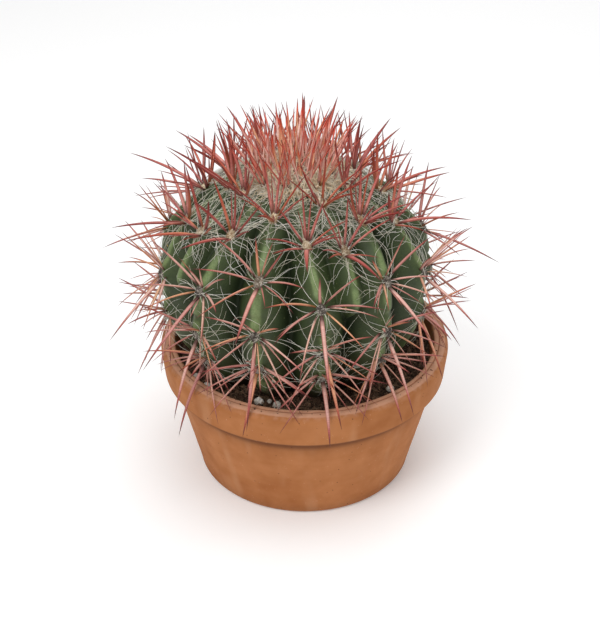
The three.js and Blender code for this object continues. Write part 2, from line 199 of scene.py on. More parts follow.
def ring_faces(rows, columns, start=0, looped=False):
    """Quads between rings of points, which run upwards, or right round if looped.

    Rings that aren't looped are closed by fans to the two points that follow, low and high.
    """
    here = start + np.arange(columns)
    after = start + (np.arange(columns) + 1) % columns
    faces = []
    for row in range(rows if looped else rows - 1):
        low, high = row * columns, (row + 1) % rows * columns
        faces += np.stack([low + here, low + after, high + after, high + here], 1).tolist()
    if not looped:
        top, pole = (rows - 1) * columns, np.full(columns, start + rows * columns)
        faces += np.stack([after, here, pole], 1).tolist()
        faces += np.stack([top + here, top + after, pole + 1], 1).tolist()
    return faces


def mark(mesh, name, values, kind="FLOAT"):
    """Keeps a number or a direction at every point of a mesh."""
    field = "vector" if kind == "FLOAT_VECTOR" else "value"
    mesh.attributes.new(name, kind, "POINT").data.foreach_set(field, np.ravel(values))


def rounded_corner(radius, z, size, first, steps):
    """A quarter turn about a middle, from an angle on, the first and last points included."""
    turns = np.radians(np.linspace(first, first + 90, steps + 1))
    return np.stack([radius + size * np.cos(turns), z + size * np.sin(turns)], axis=1)


def straight(first, last, steps):
    """The points between two others, without those two."""
    return np.array(first) + np.outer(np.arange(1, steps) / steps, np.subtract(last, first))


band_low = POT_HEIGHT - BAND_HEIGHT
under_band = (WALL_TOP_RADIUS + UNDER_BAND_CHAMFER[0], band_low)
band_edge = (BAND_LOW_RADIUS - BAND_LOW_ROUNDING, band_low + BAND_LOW_ROUNDING)
rim_edge = (RIM_RADIUS - RIM_ROUNDING, POT_HEIGHT - RIM_ROUNDING)
wall_low = (FLOOR_INNER_RADIUS + FLOOR_CHAMFER, FLOOR_THICKNESS + FLOOR_CHAMFER)
wall_high = (RIM_INNER_RADIUS, POT_HEIGHT - RIM_INNER_ROUNDING)
floor_edge = (DRAIN_RADIUS + DRAIN_CHAMFER, FLOOR_THICKNESS)
drain_edge = (DRAIN_RADIUS, FLOOR_THICKNESS - DRAIN_CHAMFER)
pot_profile = np.concatenate([
    straight((DRAIN_RADIUS, DRAIN_CHAMFER), (DRAIN_RADIUS, 0), 2),
    [(DRAIN_RADIUS + DRAIN_CHAMFER, 0)],
    straight((DRAIN_RADIUS + DRAIN_CHAMFER, 0), (BASE_RADIUS - BASE_ROUNDING, 0), 8),
    rounded_corner(BASE_RADIUS - BASE_ROUNDING, BASE_ROUNDING, BASE_ROUNDING, -90, 6),
    straight((BASE_RADIUS, BASE_ROUNDING), (WALL_TOP_RADIUS, band_low), 16),
    [(WALL_TOP_RADIUS, band_low - UNDER_BAND_CHAMFER[1]), under_band],
    straight(under_band, (band_edge[0], band_low), 3),
    rounded_corner(*band_edge, BAND_LOW_ROUNDING, -90, 4),
    straight((BAND_LOW_RADIUS, band_edge[1]), (RIM_RADIUS, rim_edge[1]), 10),
    rounded_corner(*rim_edge, RIM_ROUNDING, 0, 9),
    [(RIM_LINE_RADIUS + aside, POT_HEIGHT - depth) for aside, depth in RIM_LINE_ASIDE_DEPTH],
    rounded_corner(RIM_INNER_RADIUS + RIM_INNER_ROUNDING, wall_high[1], RIM_INNER_ROUNDING, 90, 4),
    straight(wall_high, wall_low, 20),
    [wall_low, (FLOOR_INNER_RADIUS, FLOOR_THICKNESS)],
    straight((FLOOR_INNER_RADIUS, FLOOR_THICKNESS), floor_edge, 8),
    [floor_edge, drain_edge],
    straight(drain_edge, (DRAIN_RADIUS, DRAIN_CHAMFER), 4),
])
pot_bearings = np.arange(POT_COLUMNS) * 360 / POT_COLUMNS
pot_radius, pot_z = (np.repeat(part[:, None], POT_COLUMNS, axis=1) for part in pot_profile.T)
outside = ramp(pot_radius, *THROWN_FROM_RADIUS) * (pot_z > THROWN_ABOVE)
turning = np.radians(pot_bearings)
throwing = 0.16 * np.sin(2 * turning + 0.6) + 0.1 * np.sin(5 * turning + pot_z * 0.03)
throwing = throwing + 0.07 * np.sin(pot_z * 0.9 + np.sin(turning)) * (pot_z < band_low)
pot_radius = pot_radius + outside * np.minimum(throwing, 0.25) - 0.1 * outside
for n in range(CHIPS_ON_RIM):
    size = mix(*CHIP_SIZE, chance(n, 62) ** 2)
    edge, drop = OUTER_CHIP_RADIUS_DROP if n % 3 else INNER_CHIP_RADIUS_DROP
    along = np.radians(apart(pot_bearings, chance(n, 61) * 360)) * edge * CHIP_SQUEEZE
    gap = np.hypot(along, np.hypot(pot_radius - edge, pot_z - (POT_HEIGHT - drop)))
    pot_z -= CHIP_DEPTH * size * np.exp(-((gap / size) ** 2)) * (pot_z > POT_HEIGHT - CHIPPED_DEPTH)
on_top = pot_z > POT_HEIGHT - RIM_TOP_DEPTH
rim_line = np.exp(-(((pot_radius - RIM_LINE_RADIUS) / RIM_LINE_WIDTH) ** 2)) * on_top
rim_top = ramp(pot_radius, *RIM_BLOOM_AND_HIGHLIGHT_INNER_EDGE) * ramp(pot_radius, *RIM_BLOOM_AND_HIGHLIGHT_OUTER_EDGE) * on_top
pot_points = (around(pot_bearings, pot_radius, pot_z) + (PLANT_LEFT_OF_POT, 0, 0)).reshape(-1, 3)


def wire(tree, kind, *values, out=0, **named):
    """A new node's output. Values and capitalised names feed its inputs; others are settings."""
    node = tree.nodes.new(kind)
    fed = dict(enumerate(values))
    for name, value in named.items():
        if name[0].isupper():
            fed[name.replace("_", " ")] = value
        else:
            setattr(node, name, value)
    for name, value in fed.items():
        if isinstance(value, bpy.types.NodeSocket):
            tree.links.new(value, node.inputs[name])
        elif value is not None:
            node.inputs[name].default_value = value
    return node.outputs[out]


def maths(kind, first, *others, **settings):
    return wire(first.id_data, "ShaderNodeMath", first, *others, operation=kind, **settings)


def product(first, second):
    return maths("MULTIPLY", first, second)


def vectors(kind, first, *others, **named):
    return wire(first.id_data, "ShaderNodeVectorMath", first, *others, operation=kind, **named)


def noise(place, scale, detail, out="Fac"):
    return wire(place.id_data, "ShaderNodeTexNoise", Vector=place, Scale=scale, Detail=detail, out=out)


def object_place(tree):
    return wire(tree, "ShaderNodeTexCoord", out="Object")


def object_height(tree):
    return wire(tree, "ShaderNodeSeparateXYZ", object_place(tree), out="Z")


def attribute(tree, name):
    return wire(tree, "ShaderNodeAttribute", attribute_name=name, out="Fac")


def between(value, low, high):
    """0 to 1 as a value goes from low to high."""
    settings = {"interpolation_type": "SMOOTHSTEP"}
    return wire(value.id_data, "ShaderNodeMapRange", value, low, high, **settings)


def shades(factor, *stops):
    """Colours laid along a factor, each stop being a place and a colour."""
    colour = wire(factor.id_data, "ShaderNodeValToRGB", factor, out="Color")
    elements = colour.node.color_ramp.elements
    while len(elements) < len(stops):
        elements.new(0.5)
    for element, (place, shade) in zip(elements, stops):
        element.position = place
        element.color = (*shade, 1)
    return colour


def blended(factor, low, high, kind="MIX"):
    """One colour over another, by a factor."""
    low, high = ((*colour, 1) if isinstance(colour, tuple) else colour for colour in (low, high))
    node = wire(factor.id_data, "ShaderNodeMix", factor, data_type="RGBA", blend_type=kind, out=2).node
    for slot, colour in ((6, low), (7, high)):
        if isinstance(colour, tuple):
            node.inputs[slot].default_value = colour
        else:
            node.id_data.links.new(colour, node.inputs[slot])
    return node.outputs[2]


def coated(colour, *coats):
    """A colour under coats: each one's mask, strength, colour and, if it isn't plain, its kind."""
    for mask, strength, *coat in coats:
        colour = blended(product(mask, strength) if strength < 1 else mask, colour, *coat)
    return colour


def dress(shader, colour, height=None, strength=0.0, distance=0.0):
    """Joins a colour to a shader, and a bump of a height, in metres, where one is given."""
    tree = colour.id_data
    tree.links.new(colour, shader["Base Color"])
    if height is not None:
        bump = wire(tree, "ShaderNodeBump", Height=height, Strength=strength, Distance=distance)
        tree.links.new(bump, shader["Normal"])


def mottling():
    """Uneven patches over a surface, from broad clouds and fine grain: a mask and a height."""
    tree = bpy.data.node_groups.new("mottling", "ShaderNodeTree")
    for way, labels in (("INPUT", ("Clouds", "Grain", "Contrast")), ("OUTPUT", ("Mask", "Height"))):
        for label in labels:
            tree.interface.new_socket(label, in_out=way, socket_type="NodeSocketFloat")
    given = tree.nodes.new("NodeGroupInput").outputs
    made = tree.nodes.new("NodeGroupOutput").inputs
    place = object_place(tree)
    grain = noise(place, given["Grain"], 2)
    centred = maths("SUBTRACT", maths("ADD", noise(place, given["Clouds"], 4), grain), 1.0)
    mask = maths("MULTIPLY_ADD", centred, given["Contrast"], 0.5, use_clamp=True)
    tree.links.new(mask, made["Mask"])
    tree.links.new(grain, made["Height"])
    return tree


mottling_group = mottling()


def mottled(tree, clouds, grain, contrast):
    """The mask and the height of a mottling, its clouds and grains counted to the metre."""
    sizes = {"Clouds": clouds, "Grain": grain, "Contrast": contrast}
    mask = wire(tree, "ShaderNodeGroup", node_tree=mottling_group, **sizes)
    return mask, mask.node.outputs["Height"]


def specks(tree, scale, size):
    """Small round spots, 1 in their middle and 0 between them; only some cells have one."""
    away = wire(tree, "ShaderNodeTexVoronoi", Vector=object_place(tree), Scale=scale, out="Distance")
    lucky = between(away.node.outputs["Color"], 0.62, 0.7)
    return product(between(away, size, size * 0.4), lucky)


def drawn_out(tree, spots_per_metre, detail):
    """Spots that are longer one way than another."""
    return noise(vectors("MULTIPLY", object_place(tree), spots_per_metre), 1.0, detail)


terracotta, tree, shader = new_finish("fired_terracotta", 0.86, 0.2)
height_here = object_height(tree)
below_band = between(height_here, 0.0846, 0.0828)
bloom_patches, grain = mottled(tree, 55, 300, 2.6)
clay = coated(
    shades(mottled(tree, 16, 70, 1.3)[0], (0.1, (0.375, 0.133, 0.041)), (0.9, (0.49, 0.195, 0.072))),
    # Streaks round the wall from the throwing, and washes down it from the water.
    (between(drawn_out(tree, (7, 7, 110), 3), 0.4, 0.7), 0.14, (0.56, 0.25, 0.11)),
    (between(drawn_out(tree, (50, 50, 9), 2), 0.52, 0.72), 0.4, (0.56, 0.29, 0.15)),
    # The bloom of salts near the rim, the rim's top painted paler for its bloom and a painted highlight,
    # and the dark line in its groove.
    (product(between(height_here, 0.104, 0.1092), bloom_patches), 0.5, (0.62, 0.36, 0.25)),
    (attribute(tree, "rim_top"), 0.6, (0.7, 0.4, 0.27)),
    (attribute(tree, "rim_line"), 0.75, (0.26, 0.085, 0.03)),
    # Painted shadow on the wall under the band's overhang, darkest just under its edge and fading
    # downwards, and the wall a little darker towards its foot.
    (product(between(height_here, 0.062, 0.076), below_band), 0.22, (0.15, 0.052, 0.022)),
    (product(between(height_here, 0.0715, 0.0775), below_band), 0.75, (0.13, 0.045, 0.02)),
    (between(height_here, 0.012, 0.0), 0.35, (0.3, 0.13, 0.06)),
    # Dark and pale specks in the clay.
    (specks(tree, 210, 0.13), 1, (0.1, 0.045, 0.025)),
    (specks(tree, 360, 0.18), 0.35, (0.7, 0.42, 0.27)),
)
dress(shader, clay, grain, 0.14, 0.0004)

pot_faces = ring_faces(len(pot_profile), POT_COLUMNS, looped=True)
pot = new_piece("terracotta_pan", pot_points, pot_faces, terracotta)
mark(pot.data, "rim_line", rim_line)
mark(pot.data, "rim_top", rim_top)
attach(pot, "root")
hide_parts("pot")


# The barrel is the plant's one stem: a flattened ball of green flesh with a waxy skin, drawn
# into thirteen full ribs and four young ones that end half way down. Below the soil it
# narrows to a short tap root.
BODY_RADIUS = 101.5
EQUATOR_Z = 170
UPPER_HEIGHT = 77
LOWER_HEIGHT = 100
CROWN_DIP = 5
CROWN_DIP_RADIUS = 20
ROOT_RINGS = ((0.5, 36.4), (4.5, 38), (8, 43), (13, 64))
ROOT_END_Z = 36
FULL_RIBS = 13
YOUNG_RIBS_AFTER = (1, 6, 8, 11)
FIRST_BEARING = -15.5
# Angles down from the top of the ball: where its ribs spread apart, and where they flatten out.
RIBS_SPREAD = (25, 95)
RIBS_FLATTEN = (95, 165)
FLATTENED_SHARE = 0.3
FOOT_RINGS_POLAR = (175, 140, -4)
BODY_RINGS_POLAR = (140, 2, -0.9)
RIB_DEPTH = 21
CREST_ROUNDING = 0.16
DEEPEST_VALLEY_SHARE = 1.1
FLANK_BULGE = 1.15
RIB_START_RADIUS = 36
RIB_FULL_RADIUS = 92
YOUNG_RIB_END = (74, 98)
COLUMNS_PER_RIB = 20
POLAR_STEP = 0.25
FIRST_AREOLE = 54
AREOLE_STEP = 52.5
AREOLE_CLOSING = 4.5
AREOLE_RANGE = (-0.25, 3.5)
SHOULDER_STEP = 0.8
RIB_SHIFTS = (0, 0.42, 0.25, 0.56, 0.2, 0.7, 0.32, 0.8, 0.38, 0.9, 0.3, 0.68, 0.42)
YOUNG_RIB_STEPS = (-0.2, 0.6)
# Waves in the skin by a pad: their height, and how far down from it they lie, how much they
# bow, how wide they are and how far across they reach.
SKIN_SWELL = 1.3
SWELL_AT_PAD = (0, 0, 9, 8)
SKIN_CREASE = 2.1
CREASE_ABOVE = (-13, 0.25, 2.6, 15)
FOLD_BELOW = (10, 0.35, 2.2, 13)
FOLD_SHARE = 0.7
CREASED_FROM = (95, 150)
LEAST_SKIN_RADIUS = 10

ribs = []
for k in range(FULL_RIBS):
    at_base = FIRST_BEARING + k * 360 / FULL_RIBS
    ribs.append({"base": at_base, "shift": RIB_SHIFTS[k], "young": False})
    if k in YOUNG_RIBS_AFTER:
        ribs.append({"base": at_base + 180 / FULL_RIBS, "young": True})
crown_spacing = 360 / len(ribs)
base_spacing = 360 / FULL_RIBS
for i, rib in enumerate(ribs):
    rib["crown"] = FIRST_BEARING + i * crown_spacing


def towards_base(polar):
    return ramp(polar, *RIBS_SPREAD)


def rib_bearing(rib, polar):
    return mix(rib["crown"], rib["base"], towards_base(polar))


def crest(polar):
    """The crest line's radius and height, at an angle in degrees from the top of the ball."""
    angle = np.radians(polar)
    radius = BODY_RADIUS * np.sin(angle)
    upper = np.cos(angle) > 0
    height = np.where(upper, UPPER_HEIGHT, LOWER_HEIGHT) * np.cos(angle)
    dip = np.where(upper, CROWN_DIP * np.exp(-((radius / CROWN_DIP_RADIUS) ** 2)), 0)
    return radius, EQUATOR_Z + height - dip


def rounded(share):
    return np.hypot(share, CREST_ROUNDING) - CREST_ROUNDING


def flank(bearing, polar):
    """How far down the flank of the nearest rib a place is, from 0 on its crest to 1."""
    half_width = mix(crown_spacing, base_spacing, towards_base(polar)) / 2
    least = np.full(np.broadcast(bearing, polar).shape, rounded(DEEPEST_VALLEY_SHARE))
    for rib in ribs:
        turn = np.abs(apart(bearing, rib_bearing(rib, polar)))
        if rib["young"]:
            share = rounded(turn / (crown_spacing / 2)) + ramp(polar, *YOUNG_RIB_END)
        else:
            share = rounded(turn / half_width)
        least = np.minimum(least, share)
    return least / rounded(1)


def rib_height(polar):
    radius, _ = crest(polar)
    upper_share = ramp(radius, RIB_START_RADIUS, RIB_FULL_RADIUS)
    lower_share = mix(1, FLATTENED_SHARE, ramp(polar, *RIBS_FLATTEN))
    return RIB_DEPTH * np.where(polar < 90, upper_share, lower_share)


def skin_inset(bearing, polar):
    """How far the skin lies inside the crest line: the flanks of real ribs bulge a little."""
    return rib_height(polar) * np.maximum(flank(bearing, polar), 0) ** FLANK_BULGE


walk_polar = np.arange(0, 176, POLAR_STEP)
walk_radius, walk_z = crest(walk_polar)
walk_length = np.concatenate([[0], np.cumsum(np.hypot(np.diff(walk_radius), np.diff(walk_z)))])


def polar_at(distance):
    """The angle from the top at a distance down along the crest line."""
    return np.interp(distance, walk_length, walk_polar)


# The felt pads on the crests: each one's rib, how far down it is, and a number of its own.
areoles = []
for r, rib in enumerate(ribs):
    steps = YOUNG_RIB_STEPS
    if not rib["young"]:
        steps = [rib["shift"] + step for step in (-SHOULDER_STEP, 0, 1, 2, 3)]
    steps = [step for step in steps if AREOLE_RANGE[0] <= step < AREOLE_RANGE[1]]
    for n, step in enumerate(steps):
        distance = FIRST_AREOLE + AREOLE_STEP * step - AREOLE_CLOSING * step * step
        polar = math.ceil(polar_at(distance) / POLAR_STEP) * POLAR_STEP
        areoles.append({"rib": rib, "distance": distance, "id": r * 10 + n, "polar": polar})

body_polar = np.concatenate([np.arange(*FOOT_RINGS_POLAR), np.arange(*BODY_RINGS_POLAR)])
columns = len(ribs) * COLUMNS_PER_RIB
body_bearing = np.empty((len(body_polar), columns))
for column in range(columns):
    before, share = divmod(column, COLUMNS_PER_RIB)
    here = rib_bearing(ribs[before], body_polar)
    gap = (rib_bearing(ribs[(before + 1) % len(ribs)], body_polar) - here) % 360
    body_bearing[:, column] = here + gap * share / COLUMNS_PER_RIB
polar_grid = np.broadcast_to(body_polar[:, None], body_bearing.shape)
body_distance = np.interp(polar_grid, walk_polar, walk_length)


def skin_wave(along, across, middle, bow, width, reach):
    """A wave across a rib, 1 on its line and 0 away from it."""
    return np.exp(-(((along - middle - bow * np.abs(across)) / width) ** 2) - (across / reach) ** 2)


body_swell = np.zeros_like(body_bearing)
for areole in areoles:
    along = body_distance - areole["distance"]
    turn = apart(body_bearing, rib_bearing(areole["rib"], polar_grid))
    across = np.radians(turn) * np.maximum(crest(polar_grid)[0], LEAST_SKIN_RADIUS)
    body_swell += SKIN_SWELL * skin_wave(along, across, *SWELL_AT_PAD)
    creased = skin_wave(along, across, *CREASE_ABOVE)
    creased += FOLD_SHARE * skin_wave(along, across, *FOLD_BELOW)
    body_swell -= SKIN_CREASE * ramp(areole["distance"], *CREASED_FROM) * creased


def new_rule(name, **inputs):
    """An empty Geometry Nodes tree with named inputs and a finish: the tree and its inputs."""
    tree = bpy.data.node_groups.new(name, "GeometryNodeTree")
    for way in ("INPUT", "OUTPUT"):
        tree.interface.new_socket("Geometry", in_out=way, socket_type="NodeSocketGeometry")
    for label, value in {**inputs, "finish": None}.items():
        kind = {int: "Int", float: "Float", tuple: "Vector"}.get(type(value), "Material")
        label = label.replace("_", " ").capitalize()
        socket = tree.interface.new_socket(label, in_out="INPUT", socket_type="NodeSocket" + kind)
        if value is not None:
            socket.default_value = value
    tree.nodes.new("NodeGroupOutput")
    return tree, tree.nodes.new("NodeGroupInput").outputs


def end_rule(given, shape):
    """The last steps of every rule: smooth shading, real faces and the finish."""
    tree = shape.id_data
    smooth = wire(tree, "GeometryNodeSetShadeSmooth", shape)
    real = wire(tree, "GeometryNodeRealizeInstances", smooth)
    dressed = wire(tree, "GeometryNodeSetMaterial", real, Material=given["Finish"])
    tree.links.new(dressed, tree.nodes["Group Output"].inputs["Geometry"])
    return tree


def grow(piece, rule, **values):
    """Turns a piece into the plain mesh that a rule makes of it."""
    modifier = piece.modifiers.new("rule", "NODES")
    modifier.node_group = rule
    for item in rule.interface.items_tree:
        key = item.name.lower().replace(" ", "_")
        if item.in_out == "INPUT" and key in values:
            modifier[item.identifier] = values[key]
    depsgraph = bpy.context.evaluated_depsgraph_get()
    made = bpy.data.meshes.new_from_object(piece.evaluated_get(depsgraph), depsgraph=depsgraph)
    piece.modifiers.clear()
    piece.data = made
    made.name = piece.name


def marked(tree, name, kind="FLOAT"):
    """What a mesh keeps at its points under a name."""
    return wire(tree, "GeometryNodeInputNamedAttribute", Name=name, data_type=kind, out="Attribute")


def ribbed_barrel():
    """Moves each point of a ball in from the crest line by its place on a rib's flank."""
    tree, given = new_rule(
        "ribbed_barrel", rib_depth=RIB_DEPTH * MM, flank_bulge=FLANK_BULGE, skin_unevenness=0.0006
    )
    place = wire(tree, "GeometryNodeInputPosition")
    level = vectors("MULTIPLY", vectors("SUBTRACT", place, (PLANT_MIDDLE * MM).tolist()), (1, 1, 0))
    bulged = maths("POWER", marked(tree, "flank"), given["Flank bulge"])
    inset = product(product(bulged, marked(tree, "rib_share")), given["Rib depth"])
    uneven = product(maths("SUBTRACT", noise(place, 60.0, 2.0), 0.5), given["Skin unevenness"])
    moved = maths("SUBTRACT", maths("ADD", marked(tree, "swell"), uneven), inset)
    shift = vectors("SCALE", vectors("NORMALIZE", level), Scale=moved)
    return end_rule(given, wire(tree, "GeometryNodeSetPosition", given["Geometry"], Offset=shift))


skin, tree, shader = new_finish("waxy_green_skin", 0.5, 0.42)
down_flank = attribute(tree, "flank")
height_here = object_height(tree)
patches, grain = mottled(tree, 34, 900, 1.3)
crest_band_gaps = between(mottled(tree, 18, 60, 3.2)[0], 0.0, 0.55)
green = coated(
    shades(patches, (0.15, (0.027, 0.045, 0.0145)), (0.85, (0.049, 0.073, 0.0225))),
    # Painted shade in the valleys, a painted highlight over the crests, and a pale band along each crest,
    # partly the skin's own colour and partly painted highlight, broken in places.
    (between(down_flank, 0.45, 0.95), 1, (0.012, 0.019, 0.0075)),
    (between(down_flank, 0.34, 0.0), 0.55, (0.084, 0.126, 0.04)),
    (
        product(between(down_flank, 0.12, 0.01), crest_band_gaps),
        0.85,
        blended(patches, (0.118, 0.182, 0.058), (0.28, 0.37, 0.16)),
    ),
    # Fresh growth by the crown, and small pale and yellow spots.
    (between(attribute(tree, "growth"), 0.36, 0.1), 0.4, (0.12, 0.17, 0.085)),
    (specks(tree, 420, 0.2), 0.5, (0.25, 0.28, 0.12)),
    (specks(tree, 75, 0.08), 1, (0.45, 0.33, 0.08)),
    # Corky patches low down, and the foot darkened towards the soil, partly dust from the mix and partly
    # painted shade.
    (
        product(between(height_here, 0.155, 0.112), mottled(tree, 60, 300, 2.4)[0]),
        0.75,
        (0.05, 0.042, 0.02),
    ),
    (between(height_here, 0.118, 0.1), 0.8, (0.035, 0.022, 0.013)),
)
dress(shader, green, grain, 0.12, 0.0003)
sheen = wire(tree, "ShaderNodeMapRange", down_flank, 0.35, 0.9, 0.42, 0.12)
tree.links.new(sheen, shader["Specular IOR Level"])

rows = len(ROOT_RINGS) + len(body_polar)
barrel_points = np.concatenate([
    *(around(body_bearing[0], *ring) for ring in ROOT_RINGS),
    around(body_bearing, *crest(polar_grid)).reshape(-1, 3),
    [(0, 0, ROOT_END_Z), (0, 0, crest(0.0)[1])],
])
barrel = new_piece("green_barrel", barrel_points, ring_faces(rows, columns))
for name, values in (
    ("flank", flank(body_bearing, polar_grid)),
    ("rib_share", rib_height(polar_grid) / RIB_DEPTH),
    ("swell", body_swell * MM),
    ("growth", polar_grid / 180),
):
    mark(barrel.data, name, [*np.zeros(len(ROOT_RINGS) * columns), *values.ravel(), 0, 0])
grow(barrel, ribbed_barrel(), finish=skin)
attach(barrel, "root")
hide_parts("cactus_body")


# The potting mix is a dark peat and bark mix, filled to a finger's breadth below the rim. It is
# pressed round the barrel's foot and root, with crumbs, bark flakes and old rootlets on top.
SOIL_TOP = 97
SOIL_RELIEF = 1.6
SOIL_LUMPS = 0.5
SOIL_WALL_GAP = 0.3
SOIL_SEAT_GAP = 0.55
SEAT_TOP_POLAR = 137.5
SEAT_RINGS_POLAR = (140, 176, 5)
SOIL_HALF_WAY = 60
SOIL_UNDER_ROOT = 68
FLOOR_RING = 35
WALL_RINGS = 4
TOP_RINGS = 26
LEVEL_BY_WALL_SHARE = 0.08
ROOTLETS = 170
ROOTLET_POINTS = 9
ROOTLET_LENGTH = (7, 20)
ROOTLET_GIRTH = (0.12, 0.3)
ROOTLET_LIFT = (0.4, 1.8)
ROOTLET_RING = (74, 86)
SOIL_OPEN_RING = (66, 95)


def soil_relief(x, y):
    broad = np.sin(x * 0.21 + 1.3) * np.cos(y * 0.17)
    fine = np.sin(x * 0.53 - y * 0.41)
    return SOIL_RELIEF * (0.6 * broad + 0.4 * fine)


def to_wall(bearing, radius):
    """How far the pot's circle of a radius is from the plant's axis, at a bearing."""
    ahead = PLANT_LEFT_OF_POT * around(bearing, 1, 0)
    return ahead[..., 0] + np.sqrt(radius**2 - ahead[..., 1] ** 2)


def inner_radius(z):
    return mix(wall_low[0], wall_high[0], (z - wall_low[1]) / (wall_high[1] - wall_low[1]))


seat_polar = np.concatenate([[SEAT_TOP_POLAR], np.arange(*SEAT_RINGS_POLAR)])
seat_columns = [np.interp(seat_polar, body_polar[::-1], col[::-1]) for col in body_bearing.T]
seat_bearing = np.stack(seat_columns, axis=1)
seat_grid = np.broadcast_to(seat_polar[:, None], seat_bearing.shape)
seat_radius, seat_z = crest(seat_grid)
seat_reach = np.maximum(seat_radius - skin_inset(seat_bearing, seat_grid) + SOIL_SEAT_GAP, 1)
top_bearing = seat_bearing[0]
soil_low = FLOOR_THICKNESS + SOIL_WALL_GAP
soil_rings = [
    around(top_bearing, to_wall(top_bearing, radius), z)
    for radius, z in (
        (FLOOR_RING, soil_low),
        (FLOOR_INNER_RADIUS - SOIL_WALL_GAP, soil_low),
        (wall_low[0] - SOIL_WALL_GAP, wall_low[1] + SOIL_WALL_GAP),
        (inner_radius(SOIL_HALF_WAY) - SOIL_WALL_GAP, SOIL_HALF_WAY),
    )
]
wall_reach = to_wall(top_bearing, inner_radius(SOIL_TOP) - SOIL_WALL_GAP)
for share in np.linspace(0, 1, TOP_RINGS):
    ring = around(top_bearing, mix(wall_reach, seat_reach[0], share), 0.0)
    x, y = ring[:, 0] - PLANT_LEFT_OF_POT, ring[:, 1]
    lumps = SOIL_LUMPS * np.sin(x * 1.1 + np.sin(y * 0.7) * 2) * np.cos(y * 1.3 + x * 0.4)
    ring[:, 2] = SOIL_TOP + (soil_relief(x, y) + lumps) * ramp(share, 0, LEVEL_BY_WALL_SHARE)
    soil_rings.append(ring)
soil_rings += [around(*ring) for ring in zip(seat_bearing[1:], seat_reach[1:], seat_z[1:])]
soil_points = np.concatenate([
    *soil_rings, [(PLANT_LEFT_OF_POT, 0, soil_low), (0, 0, SOIL_UNDER_ROOT)]
])
soil_faces = ring_faces(len(soil_rings), columns)


def patchy_finish(name, roughness, specular, mottle, stops, bump, **values):
    """A finish in uneven patches of a few colours, with a fine grain raised on it."""
    finish, tree, shader = new_finish(name, roughness, specular, **values)
    patches, grain = mottled(tree, *mottle)
    dress(shader, shades(patches, *stops), grain, *bump)
    return finish


earth_stops = ((0.1, (0.03, 0.018, 0.012)), (0.55, (0.08, 0.046, 0.029)), (1.0, (0.17, 0.105, 0.066)))
potting_mix = patchy_finish(
    "dark_potting_mix", 0.95, 0.2, mottle=(120, 900, 2.6), stops=earth_stops, bump=(0.9, 0.0016)
)
soil = new_piece("potting_mix_bed", soil_points, soil_faces, potting_mix)
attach(soil, "root")
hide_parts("soil")


def drawn(tree, low, high, seed):
    """A number or a direction for each point, drawn between two values."""
    if isinstance(high, tuple):
        return wire(tree, "FunctionNodeRandomValue", low, high, Seed=seed, data_type="FLOAT_VECTOR")
    values = (None, None, low, high)
    return wire(tree, "FunctionNodeRandomValue", *values, Seed=seed, data_type="FLOAT", out=1)


def kept_as(name, shape, value, domain):
    """A shape that keeps a number under a name, at its points or for each thing placed on it."""
    kind, settings = "GeometryNodeStoreNamedAttribute", {"data_type": "FLOAT", "domain": domain}
    return wire(shape.id_data, kind, shape, Name=name, Value=value, **settings)


def strewn_bits():
    """Lumps of many sizes strewn over a surface, each turned and dented its own way."""
    sizes = {"smallest": 0.0005, "largest": 0.002, "shape": (1.0, 1.0, 1.0)}
    tree, given = new_rule("strewn_bits", density=1000.0, **sizes, detail=1, seed=3)
    seed, over = given["Seed"], {"Density": given["Density"], "Seed": given["Seed"]}
    spots = wire(tree, "GeometryNodeDistributePointsOnFaces", given["Geometry"], **over)
    lump = wire(tree, "GeometryNodeMeshIcoSphere", Radius=1.0, Subdivisions=given["Detail"])
    shaped = wire(tree, "GeometryNodeTransform", lump, Scale=given["Shape"])
    turn = drawn(tree, (0, 0, 0), (6.28, 6.28, 6.28), seed)
    size = drawn(tree, given["Smallest"], given["Largest"], seed)
    laid = {"Instance": shaped, "Rotation": turn, "Scale": size}
    placed = wire(tree, "GeometryNodeInstanceOnPoints", spots, **laid)
    toned = kept_as("tone", placed, drawn(tree, 0.0, 1.0, 11), "INSTANCE")
    real = wire(tree, "GeometryNodeRealizeInstances", toned)
    uneven = noise(wire(tree, "GeometryNodeInputPosition"), 420.0, 1.0, "Color")
    shift = vectors("SCALE", vectors("SUBTRACT", uneven, (0.5, 0.5, 0.5)), Scale=given["Largest"])
    return end_rule(given, wire(tree, "GeometryNodeSetPosition", real, Offset=shift))


def bit_finish(name, dark, light, roughness=0.95):
    """The finish of small bits, each with a tone of its own from dark to light."""
    finish, tree, shader = new_finish(name, roughness, 0.2)
    patches, grain = mottled(tree, 300, 1200, 2)
    tone = shades(attribute(tree, "tone"), (0, dark), (1, light))
    dress(shader, blended(patches, tone, dark), grain, 0.6, 0.0006)
    return finish


bits = strewn_bits()
soil_top = (soil_points, soil_faces[WALL_RINGS * columns : (WALL_RINGS + TOP_RINGS - 1) * columns])
rim_rows = np.flatnonzero(pot_profile[:, 1] > POT_HEIGHT - 0.7) * POT_COLUMNS
pot_rim = (pot_points, pot_faces[rim_rows[0] : rim_rows[-1]])
peat = bit_finish("peat_crumbs", (0.045, 0.026, 0.017), (0.22, 0.135, 0.085))
bark = bit_finish("bark", (0.08, 0.043, 0.027), (0.4, 0.26, 0.16))
rim_dirt = bit_finish("crumbs_on_rim", (0.1, 0.05, 0.03), (0.3, 0.16, 0.09))
for name, ground, finish, bits_per_mm2, smallest, largest, shape, seed in (
    ("soil_crumbs", soil_top, peat, 0.3, 0.4, 1.4, (1.0, 1.0, 1.0), 3),
    ("bark_flakes", soil_top, bark, 0.04, 0.9, 2.4, (1.9, 0.9, 0.4), 8),
    ("rim_crumbs", pot_rim, rim_dirt, 0.012, 0.3, 1.0, (1.6, 0.8, 0.6), 5),
):
    piece = new_piece(name, *ground)
    sizes = {"smallest": smallest * MM, "largest": largest * MM, "shape": shape}
    grow(piece, bits, finish=finish, density=bits_per_mm2 / MM**2, seed=seed, **sizes)
    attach(piece, "root")


